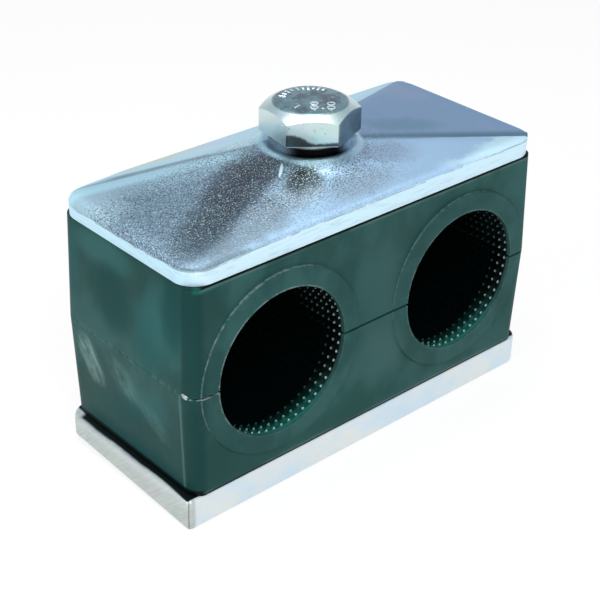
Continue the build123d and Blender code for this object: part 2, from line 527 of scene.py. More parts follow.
        # painted shade in the joints against the cover and the weld plate
        joint_shade = height.rise(self.half_height - 0.36, self.half_height - 0.18)
        colour = graph.mix(joint_shade * (1.0 - on_end * rise.rise(0.0, 1.0) * 0.8), colour, self.black)
        # painted shade at the foot of the left end, beside the weld plate
        foot = rise.rise(1.1 - self.half_height, 0.6 - self.half_height) * on_end
        return graph.mix(foot * 0.95, colour, self.black)

    def edges_of_seat(
        self, graph: Graph, colour: Socket, radius: Socket, facing: Socket, depth: Socket, fleck: Socket
    ) -> Socket:
        """Painted highlights on the collar's border and the mouth's edge, strongest at the upper left, where
        they face the light.

        Args:
            graph: the material's nodes.
            colour: what it lies on.
            radius: distance from the seat's axis.
            facing: how far it faces the upper left.
            depth: distance behind the front or back face.
            fleck: fine pattern that breaks the lines up.

        Returns:
            The colour with that laid over it.
        """
        on_front = depth.rise(0.9, 0.5)
        broken = fleck.rise(0.30, 0.62)
        side = facing.rise(-0.3, 1.2)
        # painted highlights on the collar's border and the mouth's edge
        border = abs(radius - self.ring_radius).rise(0.12, 0.04) * on_front
        colour = graph.mix(border * broken * side * 0.22, colour, self.flash_and_highlight)
        mouth = radius.rise(self.seat_radius - 0.1, self.seat_radius)
        mouth = mouth * radius.rise(self.seat_radius + 0.30, self.seat_radius + 0.16)
        return graph.mix(mouth * on_front * broken * (side * 0.20 + 0.03), colour, self.flash_and_highlight)

    def parting_line(
        self, graph: Graph, colour: Socket, x: Socket, y: Socket, rise: Socket, fleck: Socket
    ) -> Socket:
        """White flash and chips on the parting line at the front left corner.

        Args:
            graph: the material's nodes.
            colour: what it lies on.
            x: place along the clamp.
            y: place along the tubes.
            rise: height above the split between the halves.
            fleck: fine pattern that breaks the lines up.

        Returns:
            The colour with that laid over it.
        """
        close = abs(rise + 0.14).rise(0.13, 0.05)
        corner = y.rise(3.0 - self.front_y, 1.0 - self.front_y) * x.rise(-29.2, -29.8)
        colour = graph.mix(close * corner * fleck.rise(0.36, 0.56) * 0.42, colour, self.flash_and_highlight)
        chip = graph.spot(y, rise, (1.9 - self.front_y, 0.1), (0.65, 0.42), 20.0) * x.rise(-31.0, -32.0)
        colour = graph.mix(chip.rise(0.0, 0.4) * fleck.rise(0.42, 0.52), colour, self.flash_and_highlight)
        along_end = x.rise(1.2 - self.end_x, 0.6 - self.end_x) * abs(rise).rise(0.45, 0.15)
        return graph.mix(along_end * fleck.rise(0.45, 0.60) * 0.30, colour, self.rub_and_highlight)

    def inside_seat(
        self,
        graph: Graph,
        colour: Socket,
        inside: Socket,
        radius: Socket,
        depth: Socket,
        spoke_x: Socket,
        spoke_z: Socket,
        x: Socket,
    ) -> Socket:
        """Painted shade that turns the lining black behind the land, painted light on its lower wall and
        painted highlights on the stud tips near the mouths.

        Args:
            graph: the material's nodes.
            colour: the moulding's own colour.
            inside: 1 within the seat's lining.
            radius: distance from the seat's axis.
            depth: distance behind the front or back face.
            spoke_x: distance right of the seat's axis.
            spoke_z: distance above it.
            x: place along the clamp.

        Returns:
            The colour with the lining's shade and tips.
        """
        right, up = spoke_x / radius, spoke_z / radius
        below = (up + right * 0.10).rise(-0.30, -0.95)
        # painted light on the lower wall by the mouths
        colour = graph.mix(inside * below * depth.rise(0.1, 0.5), colour, self.lit)
        # painted shade, black deep in the seat
        black = inside * depth.rise(0.1, self.land + 0.5) * (1.0 - below * depth.rise(4.6, 0.8) * 0.95)
        upper = right.rise(-0.15, 0.30) * up.rise(-0.10, 0.25) * depth.rise(12.0, 4.0)
        colour = graph.mix(black * (1.0 - upper * 0.14), colour, self.seat_shade)
        # painted highlights on the stud tips
        on_tip = radius.rise(self.seat_radius + 0.42, self.seat_radius + 0.08)
        past_land = depth.rise(self.land + 0.05, self.land + 0.2)
        lower = (right * 0.62 - up).rise(0.10, 0.75) * depth.rise(4.4, 1.2)
        share = (lower * 0.95 + upper * (0.80 - x.rise(-1.0, 1.0) * 0.50)).least(1.0)
        return graph.mix(inside * on_tip * past_land * share, colour, self.tip)


@dataclass(frozen=True)
class PressedZinc(Finish):
    """Blue-passivated zinc on the cover: rainbow tints, painted reflections and sparkle, painted dark sweep
    by the seat.
    """

    # Each flat's tint is the zinc's blue painted lighter or darker for the way that flat faces: painted
    # reflection.
    left: Colour = (0.23, 0.34, 0.43)
    front: Colour = (0.43, 0.62, 0.80)
    right: Colour = (0.20, 0.33, 0.51)
    back: Colour = (0.44, 0.68, 0.80)
    # painted sparkle on the grain, and the scratch's bright metal
    glint: Colour = (0.78, 0.96, 1.0)
    dark: Colour = (0.020, 0.036, 0.048)
    rim: Colour = (0.68, 0.87, 0.96)
    end_rim: Colour = (0.58, 0.80, 0.90)
    # painted highlight beside the back left crease and round the seat's foot
    highlight_blue: Colour = (0.50, 0.77, 0.86)
    # painted shade beside the back left crease and under the bolt's head, and a dark line on the rim
    groove: Colour = (0.15, 0.24, 0.27)
    # painted shade beside the front right crease
    band: Colour = (0.100, 0.195, 0.285)
    # painted shadow round the step under the bolt's head
    black: Colour = (0.0010, 0.0012, 0.0015)
    half_length: float = 33.75
    half_width: float = 15.0
    crown_x: float = 4.6
    crown_y: float = 3.4
    rim_z: float = 41.6
    roll: float = 0.9
    seat_z: float = 45.3
    seat_radius: float = 7.3
    step_radius: float = 6.2
    wander: tuple[float, float] = (5.0, 4.0)
    speck_size: float = 0.22
    pit_size: float = 0.26
    scratch: tuple[tuple[float, float], float, float] = ((-9.3, -4.4), 2.3, 43.0)
    # The patches on the flats, here and below, are painted reflections and shade laid on the zinc's rainbow
    # tints: a dark sweep from the seat to the front left, a bright band along the front right edge.
    left_patches: tuple[TintPatch, ...] = (
        TintPatch((0.41, 0.58, 0.66), (-32.0, 9.0), (6.0, 8.0), 0.0, 0.9),
        TintPatch((0.36, 0.54, 0.64), (-19.0, 6.0), (14.0, 4.2), -16.0, 0.85),
        TintPatch((0.066, 0.100, 0.124), (-24.0, -8.0), (11.5, 5.8), 28.0, 0.95),
        TintPatch((0.050, 0.062, 0.084), (-15.0, -2.8), (11.5, 6.0), 30.0, 0.95),
        TintPatch((0.046, 0.056, 0.074), (-11.0, -2.0), (5.5, 4.5), 10.0, 0.8),
    )
    front_patches: tuple[TintPatch, ...] = (
        TintPatch((0.19, 0.26, 0.31), (-28.0, -13.0), (10.0, 4.0), 10.0, 0.95),
        TintPatch((0.27, 0.36, 0.43), (-18.0, -10.5), (9.0, 4.0), 20.0, 1.0),
        TintPatch((0.34, 0.41, 0.50), (-9.0, -9.2), (6.0, 3.2), 25.0, 0.95),
        TintPatch((0.016, 0.016, 0.020), (-7.1, -5.7), (7.0, 4.6), 35.0, 1.0),
        TintPatch((0.34, 0.46, 0.57), (-1.0, -11.5), (8.0, 3.5), 0.0, 0.8),
        TintPatch((0.30, 0.39, 0.52), (7.5, -7.6), (8.0, 2.8), -20.0, 0.8),
        TintPatch((0.70, 0.94, 1.0), (27.0, -14.3), (15.0, 2.0), 0.0, 0.8),
    )
    right_patches: tuple[TintPatch, ...] = (
        TintPatch((0.125, 0.27, 0.40), (17.0, -2.5), (8.0, 4.0), -22.0, 0.85),
        TintPatch((0.27, 0.36, 0.52), (29.0, 9.0), (6.0, 6.0), 0.0, 0.5),
    )
    back_patches: tuple[TintPatch, ...] = (
        TintPatch((0.52, 0.66, 0.56), (-17.0, 14.5), (12.0, 3.0), -6.0, 0.95),
        TintPatch((0.50, 0.58, 0.84), (-8.5, 12.5), (5.0, 2.2), -20.0, 0.7),
        TintPatch((0.50, 0.72, 0.78), (-8.0, 6.0), (4.0, 2.0), -20.0, 0.6),
    )

    def channels(self, graph: Graph, place: Socket) -> dict[str, Any]:
        """Tint each flat with its painted reflection, lay painted highlight and shade along the creases, then
        the grain with its painted sparkle, the seat's painted shade and the rim.

        Args:
            graph: the material's nodes.
            place: the point on the object, in millimetres.

        Returns:
            Values and Sockets by socket name.
        """
        x, y, z = graph.split(place)
        cloud = graph.noise(place, 5.0, 3.0, 0.55)
        colour = self.flats(graph, place, x, y, cloud)
        coarse = x.rise(16.0, -2.0)
        flat = y.rise(11.0, 5.0) * (y.rise(-14.5, -9.0) * 0.7 + 0.3)
        away = (x * x + y * y).rise(42.0, 62.0)
        colour, speckle = self.sparkle(graph, colour, place, coarse * flat * (away * 0.8 + 0.2))
        colour = self.scratched(graph, colour, x, y)
        colour = self.shaded_seat(graph, colour, x, y, z)
        rolled = x.rise(-22.0, -31.0) * (y.rise(-14.5, 0.0) * 0.65 + 0.35)
        colour = self.sheared_rim(graph, colour, place, x, z + rolled * self.roll)
        return {
            "Base Color": colour,
            "Metallic": 0.9,
            "Roughness": 0.36 + cloud * 0.10 + (self.rim_z - z).rise(-0.5, 0.3) * 0.24,
            "Normal": graph.bump(0.45, 0.05 * MM, speckle * coarse * 1.6 + cloud * 0.8),
        }

    def flats(self, graph: Graph, place: Socket, x: Socket, y: Socket, cloud: Socket) -> Socket:
        """The tints of the four flats, parted by soft seams along the creases: painted reflection, set by the
        way each flat faces, on the zinc's rainbow tints, and painted shade beside the back left crease.

        Args:
            graph: the material's nodes.
            place: the point in millimetres.
            x: place along the clamp.
            y: place along the tubes.
            cloud: broad pattern that lets the patches and seams wander.

        Returns:
            The flats' colour.
        """
        drift = graph.noise(place, 3.0, 3.0, 0.6)
        across = x + (cloud - 0.5) * self.wander[0]
        along = y + (drift - 0.5) * self.wander[1]
        down_x = (abs(x) - self.crown_x) / (self.half_length - self.crown_x)
        down_y = (abs(y) - self.crown_y) / (self.half_width - self.crown_y)
        past = down_y - down_x + (cloud - 0.5) * 0.02
        ends = graph.mix(
            x.rise(-0.5, 0.5),
            self.tinted(graph, self.left, self.left_patches, across, along),
            self.tinted(graph, self.right, self.right_patches, across, along),
        )
        ends = self.along_creases(graph, ends, x, y, past)
        sides = graph.mix(
            y.rise(-0.5, 0.5),
            self.tinted(graph, self.front, self.front_patches, across, along),
            self.tinted(graph, self.back, self.back_patches, across, along),
        )
        on_left = x.rise(-10.0, -15.0) * x.rise(-29.0, -25.0)
        # painted shade on the back flat beside the back left crease
        groove = (past + 0.01).rise(0.13, 0.03) * y.rise(2.0, 4.0) * on_left
        sides = graph.mix(groove * (drift * 0.6 + 0.45), sides, self.groove)
        soft = x.rise(-2.0, -6.0) * y.rise(-1.0, -4.0)
        blurred = (past + (drift - 0.5) * 0.25).rise(-0.11, 0.13)
        near = x.rise(24.0, 10.0) * x.rise(-1.0, 3.0) * y.rise(-1.0, -4.0)
        crisp = past.rise(-0.012, 0.012) * (1.0 - near) + past.rise(-0.07, 0.07) * near
        seam = blurred * soft + crisp * (1.0 - soft)
        return graph.mix(seam, ends, sides)

    def along_creases(self, graph: Graph, ends: Socket, x: Socket, y: Socket, past: Socket) -> Socket:
        """Painted highlight beside the back left crease, soft painted shade beside the front right one.

        Args:
            graph: the material's nodes.
            ends: the two end flats' colour.
            x: place along the clamp.
            y: place along the tubes.
            past: how far past the crease, below zero on the end flats.

        Returns:
            The colour with that laid over it.
        """
        beside = past.rise(-0.34, -0.20) * past.rise(-0.02, -0.09)
        # painted highlight beside the back left crease
        highlight_blue = beside * x.rise(-8.0, -14.0) * y.rise(1.0, 3.0)
        ends = graph.mix(highlight_blue * 0.9, ends, self.highlight_blue)
        # painted shade beside the front right crease
        band = past.rise(-0.26, -0.05) * x.rise(3.0, 7.0) * y.rise(-1.0, -3.0)
        return graph.mix(band * 0.85, ends, self.band)

    def sparkle(
        self, graph: Graph, colour: Socket, place: Socket, amount: Socket
    ) -> tuple[Socket, Socket]:
        """Fine specks on the etched grain: painted sparkle highlights and dark pits.

        Args:
            graph: the material's nodes.
            colour: what the specks lie on.
            place: the point in millimetres.
            amount: how strongly they show, 0 to 1.

        Returns:
            The speckled colour, and the specks' own level for the bump.
        """
        speckle = graph.noise(place, self.speck_size, 1.0, 0.6)
        pits = graph.noise(graph.stretched(place, (1.0, 1.2, 1.0)), self.pit_size, 1.0, 0.6)
        # painted sparkle highlights
        colour = graph.mix(speckle.rise(0.55, 0.66) * (amount * 0.58 + 0.02), colour, self.glint)
        colour = graph.mix(pits.rise(0.50, 0.60) * (amount * 0.66 + 0.02), colour, self.dark)
        return colour, speckle

    def scratched(self, graph: Graph, colour: Socket, x: Socket, y: Socket) -> Socket:
        """One bright scratch beside the seat.

        Args:
            graph: the material's nodes.
            colour: what it lies on.
            x: place along the clamp.
            y: place along the tubes.

        Returns:
            The colour with that laid over it.
        """
        middle, reach, turn = self.scratch
        bend = x + (y - middle[1]) * (y - middle[1]) * 0.06
        mark = graph.spot(bend, y, middle, (reach, 0.30), turn).rise(0.1, 0.6)
        return graph.mix(mark * 0.8, colour, self.glint)

    def shaded_seat(self, graph: Graph, colour: Socket, x: Socket, y: Socket, z: Socket) -> Socket:
        """Painted highlight in a light blue ring at the seat's foot, painted shade under the front of the
        bolt's head, and a black painted shadow round the step under it.

        Args:
            graph: the material's nodes.
            colour: what it lies on.
            x: place along the clamp.
            y: place along the tubes.
            z: height above the floor.

        Returns:
            The colour with that laid over it.
        """
        radius = (x * x + y * y) ** 0.5
        facing = (x * -0.50 - y * 0.866) / radius.most(0.1)
        # painted highlight round the seat's foot, away from the front
        foot = abs(radius - self.seat_radius - 0.05).rise(0.75, 0.15) * facing.rise(0.95, 0.55)
        colour = graph.mix(foot * 0.60, colour, self.highlight_blue)
        # painted shade under the front of the bolt's head
        under = abs(radius - self.seat_radius).rise(1.5, 0.3) * facing.rise(0.60, 0.90)
        colour = graph.mix(under * 0.70, colour, self.groove)
        # painted shadow round the step under the bolt's head
        joint_shade = radius.rise(self.step_radius + 0.85, self.step_radius + 0.25)
        dark = joint_shade * facing.rise(0.55, 0.90)
        return graph.mix(dark * z.rise(self.seat_z - 0.5, self.seat_z - 0.2), colour, self.black)

    def sheared_rim(self, graph: Graph, colour: Socket, place: Socket, x: Socket, z: Socket) -> Socket:
        """Bright side wall, duller at the ends, with fine level lines and a broken dark line at its top.

        Args:
            graph: the material's nodes.
            colour: what it lies on.
            place: the point in millimetres.
            x: place along the clamp.
            z: height, raised by what the edge is rolled down.

        Returns:
            The colour with that laid over it.
        """
        level = graph.noise(graph.stretched(place, (0.4, 0.4, 3.0)), 1.1, 3.0, 0.6)
        at_end = abs(x).rise(self.half_length - 1.5, self.half_length - 0.4)
        rim = graph.mix(at_end, self.rim, self.end_rim)
        rim = graph.mix(level.rise(0.48, 0.75) * 0.22, rim, self.left)
        line = abs(z - self.rim_z + 0.42).rise(0.17, 0.06) * level.rise(0.40, 0.58)
        rim = graph.mix(line * 0.6, rim, self.groove)
        return graph.mix((self.rim_z - z).rise(0.22, 0.42), colour, rim)


@dataclass(frozen=True)
class ShearedZinc(Finish):
    """Pale zinc on the sheared weld plate: faint rainbow bands, duller cropped ends, painted shade on top by
    the body.
    """

    base: Colour = (0.72, 0.77, 0.78)
    blue: Colour = (0.60, 0.74, 0.84)
    warm: Colour = (0.80, 0.79, 0.68)
    end: Colour = (0.52, 0.58, 0.54)
    end_dull: Colour = (0.44, 0.50, 0.51)
    end_rose: Colour = (0.55, 0.51, 0.52)
    brown: Colour = (0.22, 0.17, 0.15)
    # painted shade on the top beside the body
    black: Colour = (0.002, 0.008, 0.008)
    end_x: float = 35.0
    front_y: float = 15.0
    top_z: float = 5.0

    def channels(self, graph: Graph, place: Socket) -> dict[str, Any]:
        """Clouded pale metal with a brownish line down its sharper corner, and painted shade on its top
        beside the body.

        Args:
            graph: the material's nodes.
            place: the point on the object, in millimetres.

        Returns:
            Values and Sockets by socket name.
        """
        x, y, z = graph.split(place)
        cloud = graph.noise(place, 6.0, 3.0, 0.55)
        band = graph.noise(graph.stretched(place, (1.0, 1.0, 3.0)), 3.0, 2.0, 0.5)
        slant = graph.vectors("ADD", place, graph.out("ShaderNodeCombineXYZ", inputs={1: z * 1.2}))
        shear = graph.noise(graph.stretched(slant, (1.0, 3.0, 0.5)), 1.6, 3.0, 0.6)
        grit = graph.noise(place, 0.35, 2.0, 0.6)
        colour = graph.mix(cloud.rise(0.35, 0.70), self.base, self.blue)
        colour = graph.mix(band.rise(0.52, 0.75) * 0.5, colour, self.warm)
        cropped = graph.mix(shear.rise(0.38, 0.66), self.end, self.end_dull)
        cropped = graph.mix(cloud.rise(0.50, 0.72) * 0.7, cropped, self.end_rose)
        cropped = graph.mix(z.rise(self.top_z - 2.2, self.top_z - 0.6) * 0.20, cropped, self.base)
        colour = graph.mix(x.rise(1.6 - self.end_x, 0.9 - self.end_x), colour, cropped)
        in_x, in_y = x + self.end_x, y + self.front_y
        at_corner = abs(in_x - in_y + (cloud - 0.5) * 0.5).rise(0.22, 0.08) * in_y.rise(0.8, 0.5)
        colour = graph.mix(at_corner * in_x.rise(1.0, 0.7) * 0.7, colour, self.brown)
        # painted shade over the top face, seen as a dark strip beside the body
        joint_shade = z.rise(self.top_z - 0.16, self.top_z - 0.04) * (y + self.front_y).rise(0.42, 0.56)
        colour = graph.mix(joint_shade, colour, self.black)
        # painted shade on the rolled left end beside the body
        beside = (x + cloud * 0.5).rise(0.65 - self.end_x, 1.05 - self.end_x)
        inner = abs(y + 0.8).rise(self.front_y - 1.2, self.front_y - 2.2) * x.rise(-30.0, -31.0)
        colour = graph.mix(beside * inner * z.rise(self.top_z - 1.5, self.top_z - 1.0), colour, self.black)
        return {
            "Base Color": colour,
            "Metallic": 0.85,
            "Roughness": 0.40 + band * 0.15,
            "Normal": graph.bump(0.35, 0.05 * MM, grit + cloud * 2.0 + shear * 0.5),
        }


@dataclass(frozen=True)
class BrightZinc(Finish):
    """Bright zinc on cold-formed and turned steel: dull crown, bright chamfer and marks, darkened flats."""

    base: Colour = (0.66, 0.76, 0.78)
    green: Colour = (0.60, 0.75, 0.70)
    rose: Colour = (0.70, 0.66, 0.74)
    dark_tone: Colour = (0.030, 0.042, 0.050)
    shaded: Colour = (0.11, 0.18, 0.24)
    crown: Colour = (0.20, 0.34, 0.38)
    crown_dark: Colour = (0.08, 0.13, 0.16)
    marked: Colour = (0.95, 1.0, 1.0)
    crown_z: float = 51.6
    seat_z: float = 46.3
    foot_z: float = 46.8
    flat: float = 6.5
    front_flat: float = math.radians(232.0)
    right_flat: float = math.radians(292.0)

    def channels(self, graph: Graph, place: Socket) -> dict[str, Any]:
        """Bright metal with a darker crown round the raised marks and a dark patch low on one flat.

        Args:
            graph: the material's nodes.
            place: the point on the object, in millimetres.

        Returns:
            Values and Sockets by socket name.
        """
        x, y, z = graph.split(place)
        cloud = graph.noise(place, 3.0, 3.0, 0.6)
        tint = graph.noise(place, 5.0, 2.0, 0.5)
        speck = graph.noise(place, 0.7, 3.0, 0.65)
        grit = graph.noise(place, 0.30, 2.0, 0.65)
        colour = graph.mix(tint.rise(0.35, 0.65), self.base, self.green)
        colour = graph.mix(cloud.rise(0.55, 0.70) * 0.4, colour, self.rose)
        colour = self.on_flats(graph, colour, x, y, z, cloud, speck)
        crown = graph.mix(cloud.rise(0.42, 0.62), self.crown, self.crown_dark)
        crown = graph.mix(speck.rise(0.54, 0.70) * 0.5, crown, self.base)
        below = z - self.crown_z
        on_crown = below.rise(-0.06, -0.10) * below.rise(-0.42, -0.26)
        colour = graph.mix(on_crown * 0.9, colour, crown)
        colour = graph.mix(below.rise(-0.05, -0.02) * cloud.rise(0.72, 0.48), colour, self.marked)
        return {
            "Base Color": colour,
            "Metallic": 0.95,
            "Roughness": 0.22 + cloud * 0.22,
            "Normal": graph.bump(0.4, 0.05 * MM, grit + cloud * 2.0 + speck),
        }

    def on_flats(
        self, graph: Graph, colour: Socket, x: Socket, y: Socket, z: Socket, cloud: Socket, speck: Socket
    ) -> Socket:
        """Darker right flat, and a dark patch on the front one that rises to the left off a bright edge.

        Args:
            graph: the material's nodes.
            colour: what it lies on.
            x: place along the clamp.
            y: place along the tubes.
            z: height above the floor.
            cloud: broad pattern in the dark patch.
            speck: fine pattern of the specks.

        Returns:
            The colour with that laid over it.
        """
        on_head = z.rise(self.seat_z - 0.3, self.seat_z)
        front = self.toward(x, y, self.front_flat).rise(self.flat - 0.22, self.flat - 0.08) * on_head
        right = self.toward(x, y, self.right_flat).rise(self.flat - 0.22, self.flat - 0.08) * on_head
        across = self.toward(x, y, self.front_flat + math.pi / 2)
        height = z - self.foot_z
        edge = across.rise(0.8, -3.9) * 1.5 + cloud * 1.6 - 0.2
        low = (edge - height).rise(-0.15, 0.35) * height.rise(0.08, 0.22)
        colour = graph.mix(front * low * 0.92, colour, self.dark_tone)
        colour = graph.mix(right * (0.62 + cloud * 0.5).least(1.0), colour, self.shaded)
        specks = (front + right).least(1.0) * speck.rise(0.60, 0.70)
        return graph.mix(specks * 0.5, colour, self.dark_tone)

    @staticmethod
    def toward(x: Socket, y: Socket, angle: float) -> Socket:
        """Distance from the bolt's axis in one direction."""
        return x * math.cos(angle) + y * math.sin(angle)


GREEN = MouldedGreen("green_polypropylene")
COVER_ZINC = PressedZinc("pressed_cover_zinc")
PLATE_ZINC = ShearedZinc("sheared_plate_zinc")
BOLT_ZINC = BrightZinc("bright_bolt_zinc")


# ---- mesh helpers --------------------------------------------------------------------------------------

def as_object(name: str, shape: bmesh.types.BMesh, smooth_below: float = 35.0) -> bpy.types.Object:
    """Turn a bmesh into an object at the origin.

    Args:
        name: the piece's name.
        shape: the mesh, freed afterwards.
        smooth_below: angle in degrees under which neighbouring faces shade as one.

    Returns:
        The linked object.
    """
    mesh = bpy.data.meshes.new(name)
    shape.to_mesh(mesh)
    shape.free()
    mesh.shade_smooth()
    mesh.set_sharp_from_angle(angle=math.radians(smooth_below))
    made = bpy.data.objects.new(name, mesh)
    bpy.context.scene.collection.objects.link(made)
    return made


def boolean(
    piece: bpy.types.Object, tool: bmesh.types.BMesh, operation: str, smooth_below: float = 35.0
) -> None:
    """Cut or trim a piece with a closed tool mesh and keep the result in its own mesh.

    Args:
        piece: the object to change.
        tool: the cutting solid, freed afterwards.
        operation: DIFFERENCE, INTERSECT or UNION.
        smooth_below: shading angle of the result in degrees.
    """
    cutter = as_object(piece.name + "_tool", tool)
    step = piece.modifiers.new("cut", "BOOLEAN")
    step.operation = operation
    step.solver = "EXACT"
    step.object = cutter
    graph = bpy.context.evaluated_depsgraph_get()
    done = bpy.data.meshes.new_from_object(piece.evaluated_get(graph))
    piece.modifiers.clear()
    old = piece.data
    piece.data = done
    bpy.data.meshes.remove(old)
    done.name = piece.name
    done.shade_smooth()
    done.set_sharp_from_angle(angle=math.radians(smooth_below))
    tool_mesh = cutter.data
    bpy.data.objects.remove(cutter)
    bpy.data.meshes.remove(tool_mesh)


def fade(value: float, low: float, high: float) -> float:
    """Smooth step from 0 to 1 as value goes from low to high."""
    share = min(max((value - low) / (high - low), 0.0), 1.0)
    return share * share * (3 - 2 * share)


def is_upright(edge: bmesh.types.BMEdge) -> bool:
    """Whether an edge stands upright, over a millimetre high."""
    return abs(edge.verts[0].co.z - edge.verts[1].co.z) > 1 * MM


def chain(
    shape: bmesh.types.BMesh, places: Sequence[Sequence[float]], closed: bool = False
) -> tuple[list[bmesh.types.BMVert], list[bmesh.types.BMEdge]]:
    """Add a line of points joined by edges.

    Args:
        shape: the mesh to add to.
        places: the points' places, in order.
        closed: whether the last point is joined to the first.

    Returns:
        The points and the edges.
    """
    points = [shape.verts.new(place) for place in places]
    following = points[1:] + points[:1] if closed else points[1:]
    return points, [shape.edges.new(pair) for pair in zip(points, following)]


def slice_through(
    shape: bmesh.types.BMesh,
    place: Sequence[float],
    normal: Sequence[float],
    near: float = 1e-7,
    keep_outer: bool = True,
) -> None:
    """Cut a whole mesh along a plane.

    Args:
        shape: the mesh.
        place: a point on the plane.
        normal: the plane's normal.
        near: how close to the plane a vertex counts as on it.
        keep_outer: whether what lies beyond the plane stays.
    """
    bmesh.ops.bisect_plane(
        shape,
        geom=shape.verts[:] + shape.edges[:] + shape.faces[:],
        plane_co=place,
        plane_no=normal,
        dist=near,
        clear_outer=not keep_outer,
    )


def round_edges(
    shape: bmesh.types.BMesh, chosen: Iterable[bmesh.types.BMEdge], radius: float, segments: int
) -> None:
    """Round the chosen edges of a mesh.

    Args:
        shape: the mesh.
        chosen: its edges to round.
        radius: how far the rounding reaches.
        segments: number of faces across it.
    """
    bmesh.ops.bevel(
        shape,
        geom=list(chosen),
        offset=radius,
        segments=segments,
        profile=0.5,
        affect="EDGES",
        material=-1,
        clamp_overlap=True,
    )


def rod(radius: float, low: float, high: float, segments: int = 96) -> bmesh.types.BMesh:
    """Closed upright cylinder on the Z axis.

    Args:
        radius: its radius.
        low: height of its foot.
        high: height of its top.
        segments: number of sides.

    Returns:
        The cylinder.
    """
    shape = bmesh.new()
    place = Matrix.Translation((0, 0, (low + high) / 2))
    bmesh.ops.create_cone(
        shape,
        cap_ends=True,
        segments=segments,
        radius1=radius,
        radius2=radius,
        depth=high - low,
        matrix=place,
    )
    return shape


def turned(
    profile: Sequence[tuple[float, float]], steps: int = 96, closed: bool = False
) -> bmesh.types.BMesh:
    """Spin a profile about Z into a closed body of revolution.

    Args:
        profile: its points, each a radius and a height.
        steps: number of steps in the turn.
        closed: whether the profile is a loop, which makes a ring.

    Returns:
        The body, normals outward.
    """
    shape = bmesh.new()
    points, edges = chain(shape, [(radius, 0, height) for radius, height in profile], closed)
    bmesh.ops.spin(
        shape,
        geom=points + edges,
        cent=(0, 0, 0),
        axis=(0, 0, 1),
        angle=math.tau,
        steps=steps,
        use_merge=True,
        use_duplicate=False,
    )
    bmesh.ops.remove_doubles(shape, verts=shape.verts[:], dist=1e-7)
    bmesh.ops.recalc_face_normals(shape, faces=shape.faces[:])
    return shape


def settle(
    piece: bpy.types.Object, finish: Finish, body: str, stands_for: Sequence[str] = ()
) -> None:
    """Give a finished piece its material and body, and hide the nodes that it stands for.

    Args:
        piece: the finished piece.
        finish: what it is made of.
        body: the body that it rides on.
        stands_for: nodes that it replaces, none for a node shown as it is.
    """
    piece.data.materials.clear()
    piece.data.materials.append(finish.material())
    if stands_for:
        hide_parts(*stands_for)
        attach(piece, body)
    LOG.info("%s: %d faces on body %s", piece.name, len(piece.data.polygons), body)


# ---- moulded halves ------------------------------------------------------------------------------------

class Facing(Enum):
    """Which way a moulded half turns its flat outer face."""

    UP = 1
    DOWN = -1


